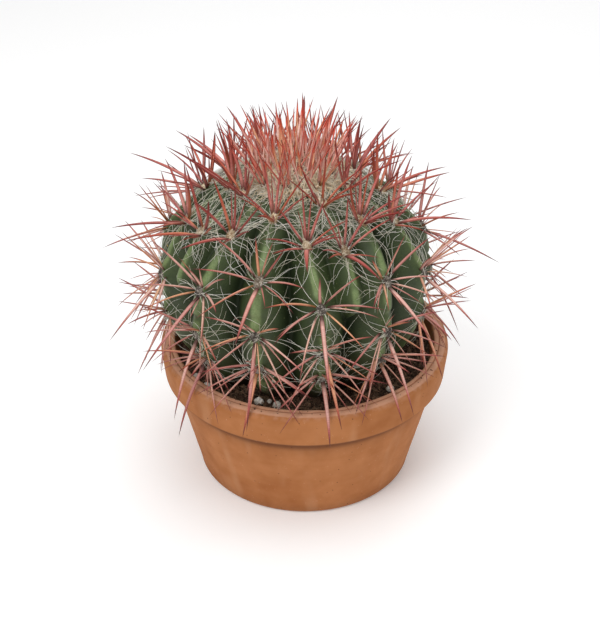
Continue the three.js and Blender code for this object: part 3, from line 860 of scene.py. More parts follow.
def line_piece(name, paths, **marks):
    """A mesh of open lines, one through each row of points, with values at every point."""
    order = np.arange(paths.shape[0] * paths.shape[1]).reshape(paths.shape[:2])
    edges = np.stack([order[:, :-1].ravel(), order[:, 1:].ravel()], axis=1).tolist()
    piece = new_piece(name, paths.reshape(-1, 3), [], edges=edges)
    for label, values in marks.items():
        directed = np.ndim(values) == 3
        values = np.broadcast_to(values, paths.shape if directed else paths.shape[:2])
        mark(piece.data, label, values, "FLOAT_VECTOR" if directed else "FLOAT")
    return piece


def round_threads():
    """A closed tube along every line, as thick as its girth and flattened across its level."""
    tree, given = new_rule("round_threads", sides=6, flatness=1.0)
    lines = wire(tree, "GeometryNodeMeshToCurve", given["Geometry"])
    direction = marked(tree, "level", "FLOAT_VECTOR")
    level = wire(tree, "GeometryNodeSetCurveNormal", lines, Normal=direction, mode="FREE")
    ring = wire(tree, "GeometryNodeCurvePrimitiveCircle", Resolution=given["Sides"], Radius=1.0)
    squash = wire(tree, "ShaderNodeCombineXYZ", 1.0, given["Flatness"], 1.0)
    oval = wire(tree, "GeometryNodeTransform", ring, Scale=squash)
    aside = wire(tree, "ShaderNodeSeparateXYZ", wire(tree, "GeometryNodeInputPosition"), out="X")
    edged = kept_as("edge", oval, maths("ABSOLUTE", aside), "POINT")
    thick = {"Profile_Curve": edged, "Scale": marked(tree, "girth"), "Fill_Caps": True}
    return end_rule(given, wire(tree, "GeometryNodeCurveToMesh", level, **thick))


def levels(paths):
    """A direction across each path that stays level and square to it."""
    along = np.gradient(paths, axis=1)
    along /= np.linalg.norm(along, axis=2, keepdims=True)
    flat = np.cross(along[:, :1], (0, 0, 1.0)) + 1e-6
    flat = flat - along * np.sum(flat * along, axis=2, keepdims=True)
    return flat / np.linalg.norm(flat, axis=2, keepdims=True)


chooser = np.random.default_rng(SEED)


def wandering(count, lengths, points, turn_reach):
    """How far hairs have turned at each of their steps as they wander, and their steps' length."""
    step = chooser.uniform(*lengths, count)[:, None] / (points - 1)
    share = np.linspace(0, 1, points)
    bend = turn_reach * chooser.triangular(-1, 0, 1, (count, 1)) * share
    for wave in (1, 2):
        size = chooser.normal(0, 0.24, (count, 1)) / wave
        bend = bend + size * np.sin(2 * np.pi * (wave * 0.7 * share + chooser.random((count, 1))))
    return bend - bend[:, :1], step


def crawling(roots, lengths, points, turn_reach):
    """Level lines that wander off from their roots in any direction."""
    bend, step = wandering(len(roots), lengths, points, turn_reach)
    way = chooser.uniform(0, 2 * np.pi, (len(roots), 1)) + bend
    moves = np.stack([np.cos(way) * step, np.sin(way) * step, 0 * way], axis=-1)
    return roots[:, None] + np.cumsum(moves, axis=1)


threads = round_threads()
rootlet_bearing = chooser.uniform(0, 360, ROOTLETS)
rootlet_roots = around(rootlet_bearing, chooser.uniform(*ROOTLET_RING, ROOTLETS), 0)
rootlets = crawling(rootlet_roots, ROOTLET_LENGTH, ROOTLET_POINTS, 1.2)
reach = np.linalg.norm(rootlets[..., :2], axis=2)
rootlets[..., :2] *= (np.clip(reach, *SOIL_OPEN_RING) / reach)[..., None]
lift = chooser.uniform(*ROOTLET_LIFT, (ROOTLETS, 1))
rootlets[..., 2] = SOIL_TOP + soil_relief(rootlets[..., 0], rootlets[..., 1]) + lift
rootlets[..., 0] += PLANT_LEFT_OF_POT
rootlet_finish = bit_finish("dry_rootlets", (0.16, 0.1, 0.055), (0.42, 0.3, 0.19), 0.8)
piece = line_piece(
    "soil_rootlets",
    rootlets,
    girth=chooser.uniform(*ROOTLET_GIRTH, (ROOTLETS, 1)) * MM,
    level=levels(rootlets),
    tone=chooser.random((ROOTLETS, 1)),
)
grow(piece, threads, sides=4, flatness=1.0, finish=rootlet_finish)
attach(piece, "root")


# The perlite grains are bits of white expanded stone, each a lumpy and pitted crumb. They lie
# loose on top of the mix, half sunk in it.
PERLITE_GRAINS = 8


def perlite_grain():
    """A ball pressed to a grain's own size, with a pitted surface."""
    tree, given = new_rule(
        "perlite_grain", size=(0.003, 0.003, 0.003), middle=(0.0, 0.0, 0.0), pits=0.0027
    )
    ball = wire(tree, "GeometryNodeMeshIcoSphere", Radius=1.0, Subdivisions=4)
    fitted = wire(tree, "GeometryNodeTransform", ball, Scale=given["Size"], Translation=given["Middle"])
    uneven = noise(wire(tree, "GeometryNodeInputPosition"), 420.0, 3.0)
    deep = product(maths("SUBTRACT", uneven, 0.55), given["Pits"])
    shift = vectors("SCALE", wire(tree, "GeometryNodeInputNormal"), Scale=deep)
    return end_rule(given, wire(tree, "GeometryNodeSetPosition", fitted, Offset=shift))


grain_rule = perlite_grain()
stone_stops = ((0.1, (0.55, 0.49, 0.4)), (0.5, (0.86, 0.82, 0.73)), (1, (0.95, 0.93, 0.88)))
white_stone = patchy_finish(
    "white_perlite", 0.9, 0.2, mottle=(260, 1500, 2), stops=stone_stops, bump=(0.6, 0.0005)
)
for n in range(1, PERLITE_GRAINS + 1):
    low, high = (np.array(corner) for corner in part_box(f"perlite_{n}"))
    piece = new_piece(f"white_grain_{n}", np.zeros((1, 3)), [])
    half, middle = (high - low) / 2, (low + high) / 2
    grow(piece, grain_rule, size=half.tolist(), middle=middle.tolist(), finish=white_stone)
    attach(piece, "root")
    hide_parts(f"perlite_{n}")


# The side spines are hard and woody, red when young and salmon pink when old, with dark points
# and fine rings across them. Each felt pad bears a long flat one that points down, five strong
# ones round it, and a few thin ones.
FIRST_THIN_NUMBER = 600
THIN_SPINE_SHARE = (0.55, 0.85)
# Each spine's turn from the way up the rib, its lean from the pad's own direction, its length,
# its width, and how far it curls down.
STRONG_SPINES = (
    (180, 44, 49, 3.6, 0.27),
    (-46, 56, 48, 2.8, 0.14),
    (46, 56, 48, 2.8, 0.14),
    (4, 40, 43, 2.5, 0.05),
    (-88, 62, 43, 2.3, 0.2),
    (88, 62, 43, 2.3, 0.2),
)
THIN_SPINES = (
    (126, 52, 40, 1.9, 0.24),
    (-122, 52, 41, 1.9, 0.24),
    (22, 47, 39, 1.6, 0.05),
    (-18, 54, 32, 1.3, 0.05),
    (-104, 57, 37, 1.4, 0.22),
    (106, 57, 37, 1.4, 0.22),
    (152, 50, 28, 1.3, 0.14),
    (175, 52, 17, 1.4, 0.05),
)
LOW_ON_THE_BARREL = (135, 160)
YOUNG_RISE = 0.7
YOUNG_WIDTH = 1.15
YOUNG_LENGTH = 0.95
YOUNG_TO_OLD = (50, 130)
RED_TO_SALMON = (75, 130)
LOW_SPINES_REDDER = 0.3
RINGS_PER_MM = 1.6
SPINE_ROOT_DEPTH = 3
SPINE_FLATNESS = 0.55
TURN_SPREAD = 13
LEAN_SPREAD = 7
LENGTH_SPREAD = 0.13
CURL_SPREAD = 0.08
SPINE_CLEARANCE = 1
SKIN_CLEARANCE = 0.5
LIFT_STEP = 0.06
LIFT_TRIES = 24
SPINE_POINTS = 13
RIM_MIDDLE = (RIM_RADIUS + RIM_INNER_RADIUS) / 2
RIM_HALF_WIDTH = (RIM_RADIUS - RIM_INNER_RADIUS) / 2
TALLEST_CHIP = 3.6
CROWN_RADIUS = 34
CROWN_SEAT = 0.45
WOOL_HEIGHT = 6
CROWN_AREOLES = 19
SPINES_PER_CROWN_AREOLE = 5
CROWN_SPINE_LENGTH = (36, 50)
CROWN_ROOT_REACH = 0.88
CROWN_ROOT_LEVEL = 0.3
CROWN_FAN_ROOT = 1.5
CROWN_LEAN = 24
CROWN_FAN = (8, 26)
CROWN_CURL = 0.07
GOLDEN_ANGLE = 137.508


def spread(which, use, reach):
    return (2 * chance(which, use) - 1) * reach


def unit(direction):
    return direction / np.linalg.norm(direction)


def slope(degrees):
    return math.tan(math.radians(degrees))


def spine_path(root, direction, length, curl, shares):
    """A path along its direction at the root, which then curls sideways towards the tip."""
    t = np.asarray(shares)[:, None]
    middle = root + direction * length / 2
    tip = root + direction * length + curl * length
    return (1 - t) ** 2 * root + 2 * t * (1 - t) * middle + t * t * tip


def areole_frame(rib, polar):
    """A pad's place and its directions: out of the skin, up along the rib, and across it."""
    above, place, below = (
        around(rib_bearing(rib, angle), *crest(angle)) for angle in (polar - 1, polar, polar + 1)
    )
    up = unit(above - below)
    across = unit(-np.cross(around(rib_bearing(rib, polar), 1, 0), up))
    return place, np.cross(across, up), up, across


def clear_of_all(points, width, others):
    """Whether a path's points stay clear of the soil, the rim, the skin and the others."""
    from_pot = np.hypot(points[:, 0] - PLANT_LEFT_OF_POT, points[:, 1])
    margin = SPINE_CLEARANCE + width * (1 - test_shares)
    over_soil = from_pot < RIM_RADIUS + margin
    over_rim = np.abs(from_pot - RIM_MIDDLE) < RIM_HALF_WIDTH + margin
    height = points[:, 2] - EQUATOR_Z
    share = height / np.where(height > 0, UPPER_HEIGHT, LOWER_HEIGHT)
    polar = np.degrees(np.arccos(np.clip(share, -1, 1)))
    bearing = np.degrees(np.arctan2(points[:, 0], -points[:, 1]))
    skin_radius = crest(polar)[0] - rib_height(polar) * flank(bearing, polar)
    touching = over_soil & (points[:, 2] < SOIL_TOP + SOIL_RELIEF + TALLEST_CHIP + margin)
    touching |= over_rim & (points[:, 2] < POT_HEIGHT + margin)
    touching |= (np.abs(share) < 1) & (np.hypot(points[:, 0], points[:, 1]) <= skin_radius + SKIN_CLEARANCE)
    if np.any(touching):
        return False
    gaps = np.linalg.norm(points[:, None] - others[None], axis=2)
    return not gaps.size or gaps.min() >= width + SPINE_CLEARANCE


crown_edge_z = float(crest(np.degrees(np.arcsin(CROWN_RADIUS / BODY_RADIUS)))[1]) + CROWN_SEAT
path_shares = np.linspace(0, 1, SPINE_POINTS)
tuft_paths = []
for n in range(CROWN_AREOLES * SPINES_PER_CROWN_AREOLE):
    areole = n // SPINES_PER_CROWN_AREOLE
    share = math.sqrt((areole + 0.5) / CROWN_AREOLES)
    outward = around(areole * GOLDEN_ANGLE, 1, 0)
    fan_turn = n * 360 / SPINES_PER_CROWN_AREOLE + spread(n, 21, 2 * TURN_SPREAD)
    fan = around(areole * GOLDEN_ANGLE + fan_turn, 1, 0)
    root = outward * CROWN_RADIUS * CROWN_ROOT_REACH * share + fan * CROWN_FAN_ROOT
    root[2] = crown_edge_z + WOOL_HEIGHT * CROWN_ROOT_LEVEL
    fanned = fan * slope(mix(*CROWN_FAN, chance(n, 22)))
    direction = unit(outward * slope(CROWN_LEAN * share) + (0, 0, 1) + fanned)
    length = mix(*CROWN_SPINE_LENGTH, chance(n, 23))
    curl = outward * CROWN_CURL + fan * spread(n, 24, 2 * CURL_SPREAD)
    tuft_paths.append((root, direction, length, curl))
tuft_points = np.concatenate([spine_path(*path, np.arange(11) / 10) for path in tuft_paths])
test_shares = np.arange(0.25, 1.01, 0.125)


def new_spine(areole, spine, number, others):
    """One spine on its pad, lifted outwards and up until it is clear of what is near.

    Gives its path, width, tone, paleness and length, or nothing where there is no room.
    """
    place, out, up, across = areole["frame"]
    distance, which = areole["distance"], areole["id"] * 10 + number
    age = ramp(distance, *YOUNG_TO_OLD)
    turn, lean, length, width, droop = spine
    turn = math.radians(turn + spread(which, 31, TURN_SPREAD))
    lean = math.radians(lean + spread(which, 32, LEAN_SPREAD))
    length = length * (1 + spread(which, 33, LENGTH_SPREAD)) * mix(YOUNG_LENGTH, 1, age)
    width = width * mix(YOUNG_WIDTH, 1, age)
    sideways = up * math.cos(turn) + across * math.sin(turn)
    direction = out * math.cos(lean) + sideways * math.sin(lean)
    direction = unit(direction + (0, 0, YOUNG_RISE * (1 - age)))
    root = place - SPINE_ROOT_DEPTH * out + sideways
    curl = up * (spread(which, 34, CURL_SPREAD) - droop) + across * spread(which, 35, CURL_SPREAD)
    for _ in range(LIFT_TRIES):
        shape = (root, direction, length + SPINE_ROOT_DEPTH, curl)
        if clear_of_all(spine_path(*shape, test_shares), width, others):
            paleness = ramp(distance, *RED_TO_SALMON)
            paleness = paleness - LOW_SPINES_REDDER * ramp(distance, *LOW_ON_THE_BARREL)
            return spine_path(*shape, path_shares), width, chance(which, 71), paleness, length
        direction = unit(direction + out * LIFT_STEP / 2 + (0, 0, LIFT_STEP))
    return None


strong_spines, thin_spines = [], []
for areole in areoles:
    areole["frame"] = areole_frame(areole["rib"], areole["polar"])
    for n, spine in enumerate(STRONG_SPINES):
        strong_spines.append(new_spine(areole, spine, n, tuft_points))
    share = mix(*THIN_SPINE_SHARE, ramp(areole["distance"], *LOW_ON_THE_BARREL))
    for n, spine in enumerate(THIN_SPINES):
        if chance(areole["id"], 80 + n) < share:
            thin_spines.append(new_spine(areole, spine, FIRST_THIN_NUMBER + n, np.empty((0, 3))))


def spine_finish(name, root, middle, upper, tip, red=(0.72, 0.5, 0.52)):
    """Woody spine colours from root to point, with fine rings across and a redder edge.

    Red is what the colour of the reddest spines is multiplied by.
    """
    finish, tree, shader = new_finish(name, 0.48, 0.4)
    along, tone = attribute(tree, "along"), attribute(tree, "tone")
    rings = noise(wire(tree, "ShaderNodeCombineXYZ", attribute(tree, "reach"), tone), 1.0, 2.0)
    old = shades(
        along,
        (0.0, root),
        (0.14, (0.13, 0.065, 0.05)),
        (0.24, middle),
        (0.58, middle),
        (0.79, upper),
        (0.93, tip),
        (1.0, (0.1, 0.022, 0.02)),
    )
    young = shades(
        along,
        (0.0, root),
        (0.14, (0.19, 0.08, 0.068)),
        (0.27, (0.74, 0.31, 0.265)),
        (0.6, (0.54, 0.14, 0.11)),
        (0.82, (0.38, 0.065, 0.052)),
        (0.95, (0.15, 0.026, 0.024)),
        (1.0, (0.08, 0.018, 0.017)),
    )
    colour = coated(
        blended(attribute(tree, "age"), young, old),
        # Some spines are yellow at the root, some redder and some more orange.
        (product(between(tone, 0.62, 0.8), between(along, 0.3, 0.1)), 0.6, (0.5, 0.3, 0.13)),
        (between(tone, 0.4, 0.15), 0.85, red, "MULTIPLY"),
        (between(tone, 0.68, 0.85), 1, (1.0, 0.84, 0.58), "MULTIPLY"),
        # The thin edges of each, and the rings across it.
        (between(attribute(tree, "edge"), 0.5, 0.95), 0.8, (0.58, 0.28, 0.27), "MULTIPLY"),
        (between(rings, 0.35, 0.65), 0.45, (0.64, 0.52, 0.5), "MULTIPLY"),
    )
    dress(shader, colour, rings, 0.35, 0.0004)
    return finish


def grow_spines(name, spines, finish, flatness, sides):
    """Spines that keep their width for over half their length, then draw to a fine point."""
    paths, widths, tones, ages, lengths = (np.array(row) for row in zip(*filter(None, spines)))
    shape = (0.74 + 0.08 * ramp(path_shares, 0, 0.2)) * (1 - path_shares**3.2) ** 0.95 + 0.02
    piece = line_piece(
        name,
        paths,
        girth=widths[:, None] / 2 * shape * MM,
        level=levels(paths),
        along=path_shares[None],
        reach=path_shares * lengths[:, None] * RINGS_PER_MM,
        tone=tones[:, None],
        age=ages[:, None],
    )
    grow(piece, threads, sides=sides, flatness=flatness, finish=finish)
    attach(piece, "root")
    return piece


side_finish = spine_finish(
    "salmon_spines", (0.05, 0.03, 0.022), (0.86, 0.56, 0.47), (0.53, 0.165, 0.135), (0.14, 0.028, 0.028)
)
grow_spines("side_spines", strong_spines, side_finish, SPINE_FLATNESS, 8)
thin_finish = spine_finish(
    "thin_pale_spines", (0.09, 0.05, 0.035), (0.86, 0.6, 0.47), (0.62, 0.26, 0.2), (0.2, 0.05, 0.042)
)
grow_spines("thin_radial_spines", thin_spines, thin_finish, 0.8, 5)


# The areole pads are small cushions of felt on the crests that the spines grow out of: cream
# and deep near the crown, and worn to grey below.
PAD_SIZE = np.array((7, 9.5, 5)) / 2
PAD_RINGS = 7
PAD_COLUMNS = 14
YOUNG_PAD_STRETCH = 1.5
WOOLLY_TO_BARE = (70, 125)
CREAM_TO_GREY = (55, 120)
PAD_DENTS = 0.12
YOUNG_PAD_NARROWING = 0.4
PAD_FELT_PER_MM2 = 1.0
PAD_FELT_LENGTH = 0.9


def felted():
    """Short leaning fibres over a surface, which stays under them."""
    tree, given = new_rule("felted", density=1000.0, length=0.0016, seed=5)
    seed, over = given["Seed"], {"Density": given["Density"], "Seed": given["Seed"]}
    spots = wire(tree, "GeometryNodeDistributePointsOnFaces", given["Geometry"], **over)
    thin = {"Radius_Top": 0.02, "Radius_Bottom": 0.09, "Depth": 1.0}
    fibre = wire(tree, "GeometryNodeMeshCone", Vertices=3, **thin)
    tilt = drawn(tree, (-0.8, -0.8, 0.0), (0.8, 0.8, 6.28), seed)
    upright = spots.node.outputs["Rotation"]
    turned = wire(tree, "FunctionNodeRotateRotation", upright, tilt, rotation_space="LOCAL")
    size = product(drawn(tree, 0.6, 1.2, seed), given["Length"])
    laid = {"Instance": fibre, "Rotation": turned, "Scale": size}
    placed = wire(tree, "GeometryNodeInstanceOnPoints", spots, **laid)
    both = wire(tree, "GeometryNodeJoinGeometry", placed)
    tree.links.new(given["Geometry"], both.node.inputs[0])
    return end_rule(given, both)


felt_rule = felted()
rises = np.radians(np.linspace(-80, 80, PAD_RINGS))[:, None]
turns = np.arange(PAD_COLUMNS) * 2 * np.pi / PAD_COLUMNS
unit_pad = np.stack([
    np.cos(rises) * np.cos(turns), np.cos(rises) * np.sin(turns), np.sin(rises) + 0 * turns
], -1)
unit_pad = np.concatenate([unit_pad.reshape(-1, 3), [(0, 0, -1), (0, 0, 1)]])
pad_points, pad_faces, pad_age = [], [], []
for areole in areoles:
    place, out, up, across = areole["frame"]
    dents = 1 + PAD_DENTS * np.sin(unit_pad @ (5.0, 3.0, 4.0) + areole["id"])
    local = unit_pad * PAD_SIZE * dents[:, None]
    drawn_up = ramp(unit_pad[:, 1], -0.2, 0.9) * (1 - ramp(areole["distance"], *WOOLLY_TO_BARE))
    local[:, 0] *= 1 - YOUNG_PAD_NARROWING * drawn_up
    local[:, 1] *= 1 + YOUNG_PAD_STRETCH * drawn_up
    local[:, 2] -= local[:, 1] ** 2 / (2 * BODY_RADIUS) * drawn_up
    pad_faces += ring_faces(PAD_RINGS, PAD_COLUMNS, len(pad_points) * len(unit_pad))
    pad_points.append(place + local @ np.array((across, up, out)))
    pad_age.append(np.full(len(unit_pad), ramp(areole["distance"], *CREAM_TO_GREY)))

felt, tree, shader = new_finish("areole_felt", 0.95, 0.15)
patches, grain = mottled(tree, 300, 1400, 2.2)
worn = shades(patches, (0.1, (0.05, 0.04, 0.034)), (0.6, (0.19, 0.165, 0.14)), (1, (0.5, 0.46, 0.4)))
fresh = shades(patches, (0.1, (0.3, 0.19, 0.1)), (0.6, (0.6, 0.47, 0.3)), (1, (0.86, 0.75, 0.57)))
dress(shader, blended(attribute(tree, "age"), fresh, worn), grain, 0.8, 0.0008)
pads = new_piece("areole_pads", np.concatenate(pad_points), pad_faces)
mark(pads.data, "age", np.concatenate(pad_age))
grow(pads, felt_rule, density=PAD_FELT_PER_MM2 / MM**2, length=PAD_FELT_LENGTH * MM, finish=felt)
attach(pads, "root")


# The hair bristles are the plant's finest spines: soft grey-white hairs that grow from the
# pads, lie criss-cross over the flanks, and curl up where two ribs meet.
HAIR_POINTS = 12
HAIR_SMOOTHINGS = 5
HAIR_DISTANCE = (12, 258)
HAIR_LEAST_RADIUS = 14
HAIR_OVER_SOIL = 1.5
HAIR_OFF_SKIN = 0.6
HAIR_LEAST_ARCH = 0.4
HAIR_THINNING = 0.6
HAIR_GIRTH_SPREAD = (0.8, 1.2)
SIDEWAYS_AND_DOWN = (92, 34)
SHOULDER_ENDS = 88
MIDDLE_ENDS = 150


def hairs_from(pads, per_pad, lengths, turn_reach, deepest, highest, all_round=False, strayed=0.0):
    """Hairs of each pad that follow the skin, sent mostly sideways and down unless all round.

    Deepest is how far they sink into the valleys, and highest how far they may arch off the
    skin. Strayed is how far from its pad a hair may start, its own root lost in the tangle.
    """
    count = len(pads) * per_pad
    distance = np.repeat([pad["distance"] for pad in pads], per_pad)
    bearing = np.repeat([float(rib_bearing(pad["rib"], pad["polar"])) for pad in pads], per_pad)
    if strayed:
        off = chooser.uniform(-strayed, strayed, (2, count))
        distance = distance + off[0]
        radius, _ = crest(polar_at(distance))
        bearing = bearing + np.degrees(off[1] / np.maximum(radius, HAIR_LEAST_RADIUS))
    if all_round:
        way = chooser.uniform(-np.pi, np.pi, count)
    else:
        way = chooser.choice((-1, 1), count) * np.radians(chooser.normal(*SIDEWAYS_AND_DOWN, count))
    bend, step = wandering(count, lengths, HAIR_POINTS, turn_reach)
    share = np.linspace(0, 1, HAIR_POINTS)
    lie = chooser.uniform(0, deepest, (count, 1)) * (1 if strayed else ramp(share, 0, 0.5))
    arch = chooser.uniform(HAIR_LEAST_ARCH, highest, (count, 1)) * np.sin(np.pi * share * 0.9)
    turn = way[:, None] + bend
    side, fall = np.cumsum(np.sin(turn) * step, axis=1), np.cumsum(-np.cos(turn) * step, axis=1)
    polar = polar_at(np.clip(distance[:, None] + fall - fall[:, :1], *HAIR_DISTANCE))
    radius, z = crest(polar)
    aside = (side - side[:, :1]) / np.maximum(radius, HAIR_LEAST_RADIUS)
    bearing = bearing[:, None] + np.degrees(aside)
    out_r = np.sin(np.radians(polar)) / BODY_RADIUS
    out_z = np.cos(np.radians(polar)) / np.where(polar < 90, UPPER_HEIGHT, LOWER_HEIGHT)
    lift = (HAIR_OFF_SKIN + arch) / np.hypot(out_r, out_z)
    reach = radius - skin_inset(bearing, polar) * lie + lift * out_r
    paths = around(bearing, reach, np.maximum(z + lift * out_z, SOIL_TOP + HAIR_OVER_SOIL))
    for _ in range(HAIR_SMOOTHINGS):
        paths[:, 1:-1] = (paths[:, :-2] + 2 * paths[:, 1:-1] + paths[:, 2:]) / 4
    return paths


def grow_hairs(name, paths, girth, finish):
    """Hairs that thin towards their tips."""
    thinning = 1 - HAIR_THINNING * np.linspace(0, 1, paths.shape[1]) ** 2
    piece = line_piece(
        name,
        paths,
        girth=chooser.uniform(*HAIR_GIRTH_SPREAD, (len(paths), 1)) * girth * MM * thinning,
        level=levels(paths),
        tone=chooser.random((len(paths), 1)),
    )
    grow(piece, threads, sides=3, flatness=1.0, finish=finish)
    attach(piece, "root")


def hair_finish(name, roughness, specular, *mottle, stops, stain):
    """The finish of fine fibres, each with a tone of its own and stained in patches."""
    finish, tree, shader = new_finish(name, roughness, specular)
    patches, _ = mottled(tree, *mottle)
    dress(shader, coated(shades(attribute(tree, "tone"), *stops), (patches, 0.3, stain)))
    return finish


hair_stops = ((0, (0.7, 0.67, 0.52)), (0.45, (0.95, 0.93, 0.81)), (0.9, (1.0, 0.99, 0.93)))
hair = hair_finish(
    "grey_white_hair", 0.55, 0.4, 60, 500, 1.5, stops=hair_stops, stain=(0.45, 0.4, 0.26)
)
shoulder = [pad for pad in areoles if pad["distance"] < SHOULDER_ENDS]
middle_pads = [pad for pad in areoles if SHOULDER_ENDS <= pad["distance"] < MIDDLE_ENDS]
low_pads = [pad for pad in areoles if pad["distance"] >= MIDDLE_ENDS]
shoulder_paths = np.concatenate([
    hairs_from(shoulder, 22, (18, 40), 2.2, 0.7, 3.5, all_round=True),
    hairs_from(shoulder, 20, (16, 36), 2.8, 0.9, 2.5, all_round=True, strayed=12.0),
])
grow_hairs("shoulder_hairs", shoulder_paths, 0.17, hair)
flank_paths = np.concatenate([
    hairs_from(middle_pads, 11, (20, 44), 2.3, 0.8, 6.0),
    hairs_from(middle_pads, 3, (16, 34), 2.8, 0.95, 4.0, all_round=True, strayed=10.0),
    hairs_from(low_pads, 8, (16, 40), 3.4, 0.9, 6.0),
    hairs_from(low_pads, 5, (14, 32), 5.0, 0.95, 4.0, all_round=True, strayed=11.0),
])
grow_hairs("flank_hairs", flank_paths, 0.165, hair)
grow_hairs("valley_curls", hairs_from(low_pads, 12, (18, 40), 8.5, 0.9, 4.0), 0.15, hair)


# The crown is the growing point: a shallow dome of matted beige wool in the dip at the top,
# with loose threads on it and a dense tuft of young erect spines standing out of it.
WOOL_RADIUS = 31
WOOL_UNDERSIDE_POLAR = (2.5, 7.0, 12.0)
WOOL_SKIRT = ((30.6, -0.1), (31, 0.5), (30.225, 1.4))
WOOL_SHARE_RISE = ((0.9, 0.56), (0.78, 0.8), (0.6, 0.95), (0.4, 1), (0.2, 0.95), (0.05, 0.9))
WOOL_FELT_PER_MM2 = 1.2
WOOL_FELT_LENGTH = 3.4
WOOL_THREADS = 1700
WOOL_THREAD_LENGTH = (6, 18)
WOOL_THREAD_REACH = 1.1
WOOL_THREAD_CROWDING = 0.35
WOOL_THREAD_OFF_WOOL = 0.4
WOOL_THREAD_RISE = (0, 7)
CROWN_COLUMNS = 96
CROWN_SPINE_WIDTH = 2.8
CROWN_WIDTH_SPREAD = (0.78, 1.08)
CROWN_PALENESS = (0.85, 1.0)
YOUNGEST_SPINES = 62
YOUNGEST_LENGTH = (18, 42)
YOUNGEST_WIDTH = (1.3, 2.3)
YOUNGEST_LEAN = (4, 38)
YOUNGEST_FIRST_BEARING = 60
YOUNGEST_ROOT_REACH = 0.95
YOUNGEST_ROOT_LEVEL = 0.4
YOUNGEST_TURN = 150
YOUNGEST_CURL = 0.12

crown_rows = [(float(r), float(z) + CROWN_SEAT) for r, z in map(crest, WOOL_UNDERSIDE_POLAR)]
wool_edge_z = float(crest(np.degrees(np.arcsin(WOOL_RADIUS / BODY_RADIUS)))[1]) + CROWN_SEAT
wool_top = crown_edge_z + WOOL_HEIGHT - wool_edge_z
crown_rows += [(radius, wool_edge_z + rise) for radius, rise in WOOL_SKIRT]
crown_rows += [(WOOL_RADIUS * share, wool_edge_z + wool_top * rise) for share, rise in WOOL_SHARE_RISE]
crown_bearings = np.arange(CROWN_COLUMNS) * 360 / CROWN_COLUMNS
turn = np.radians(crown_bearings)
dome_points = []
for row, (radius, z) in enumerate(crown_rows):
    lumps = 0.6 * np.sin(11 * turn + radius * 0.35) + 0.5 * np.sin(23 * turn - radius * 0.8)
    uneven = 1 + (0.035 * np.sin(7 * turn + 1) + 0.025 * np.sin(13 * turn)) * (row > 2)
    dome_points += around(crown_bearings, radius * uneven, z + lumps * (row > 5)).tolist()
dome_points += [(0, 0, crown_rows[0][1]), (0, 0, crown_rows[-1][1])]

shine = {"Sheen_Weight": 0.7, "Sheen_Roughness": 0.5, "Sheen_Tint": (1, 0.9, 0.72, 1)}
fleece_stops = ((0.1, (0.45, 0.29, 0.16)), (0.45, (0.9, 0.74, 0.5)), (0.9, (0.99, 0.93, 0.77)))
wool = patchy_finish(
    "beige_wool", 0.95, 0.15, mottle=(160, 1400, 2.2), stops=fleece_stops, bump=(0.9, 0.001), **shine
)
dome = new_piece("crown_wool", np.array(dome_points), ring_faces(len(crown_rows), CROWN_COLUMNS))
grow(dome, felt_rule, density=WOOL_FELT_PER_MM2 / MM**2, length=WOOL_FELT_LENGTH * MM, finish=wool)
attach(dome, "root")

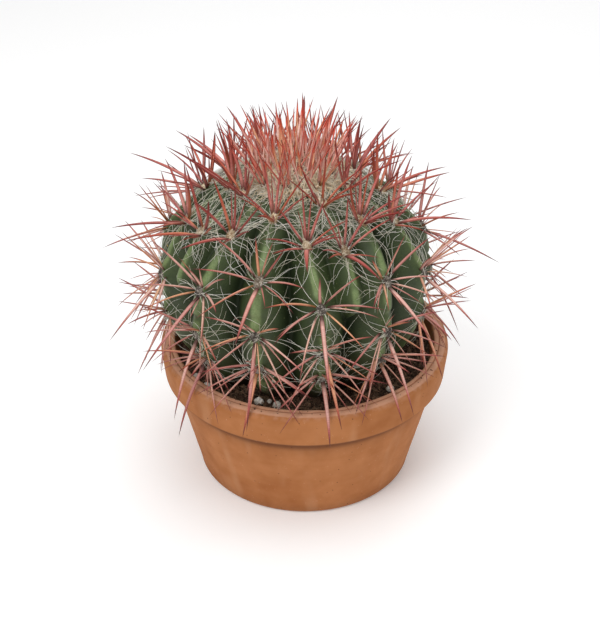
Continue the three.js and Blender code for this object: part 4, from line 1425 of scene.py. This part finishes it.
tuft_spines = []
for n, path in enumerate(tuft_paths):
    width = CROWN_SPINE_WIDTH * mix(*CROWN_WIDTH_SPREAD, chance(n, 72))
    paleness = mix(*CROWN_PALENESS, chance(n, 74))
    tuft_spines.append((spine_path(*path, path_shares), width, chance(n, 73), paleness, path[2]))
for n in range(YOUNGEST_SPINES):
    share = math.sqrt((n + 0.5) / YOUNGEST_SPINES)
    bearing = n * GOLDEN_ANGLE + YOUNGEST_FIRST_BEARING
    root_z = crown_edge_z + WOOL_HEIGHT * YOUNGEST_ROOT_LEVEL
    root = around(bearing, CROWN_RADIUS * YOUNGEST_ROOT_REACH * share, root_z)
    lean = math.radians(mix(*YOUNGEST_LEAN, chance(n, 91)))
    outward = around(bearing + spread(n, 92, YOUNGEST_TURN), 1, 0)
    direction = outward * math.sin(lean) + (0, 0, math.cos(lean))
    length = mix(*YOUNGEST_LENGTH, chance(n, 93))
    curl = outward * spread(n, 97, YOUNGEST_CURL)
    path = spine_path(root, direction, length, curl, path_shares)
    width, paleness = mix(*YOUNGEST_WIDTH, chance(n, 94)), mix(*CROWN_PALENESS, chance(n, 96))
    tuft_spines.append((path, width, chance(n, 95), paleness, length))
crown_finish = spine_finish(
    "young_red_spines",
    (0.97, 0.72, 0.6),
    (1.0, 0.72, 0.62),
    (0.88, 0.17, 0.1),
    (0.3, 0.045, 0.035),
    red=(0.95, 0.42, 0.34),
)
tuft = grow_spines("crown_tuft", tuft_spines, crown_finish, SPINE_FLATNESS, 8)
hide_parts("crown")

cream_stops = ((0, (0.86, 0.7, 0.46)), (0.5, (0.96, 0.88, 0.69)), (1, (0.99, 0.96, 0.87)))
loose_wool = hair_finish(
    "cream_wool_threads", 0.9, 0.15, 120, 600, 1.5, stops=cream_stops, stain=(0.6, 0.45, 0.27)
)
wool_reach = WOOL_RADIUS * WOOL_THREAD_REACH * chooser.random(WOOL_THREADS) ** WOOL_THREAD_CROWDING
wool_roots = around(chooser.uniform(0, 360, WOOL_THREADS), wool_reach, 0)
wool_paths = crawling(wool_roots, WOOL_THREAD_LENGTH, HAIR_POINTS, 2.6)
from_axis = np.hypot(wool_paths[..., 0], wool_paths[..., 1])
dome_z = np.interp(from_axis, *np.array(crown_rows[:2:-1]).T)
skin_z = crest(np.degrees(np.arcsin(np.clip(from_axis / BODY_RADIUS, 0, 1))))[1]
arch = np.sin(np.pi * np.linspace(0.05, 0.95, HAIR_POINTS))
rising = chooser.uniform(*WOOL_THREAD_RISE, (WOOL_THREADS, 1)) * arch
below = np.where(from_axis < WOOL_RADIUS, dome_z, skin_z)
wool_paths[..., 2] = below + WOOL_THREAD_OFF_WOOL + rising
grow_hairs("crown_wool_threads", wool_paths, 0.29, loose_wool)
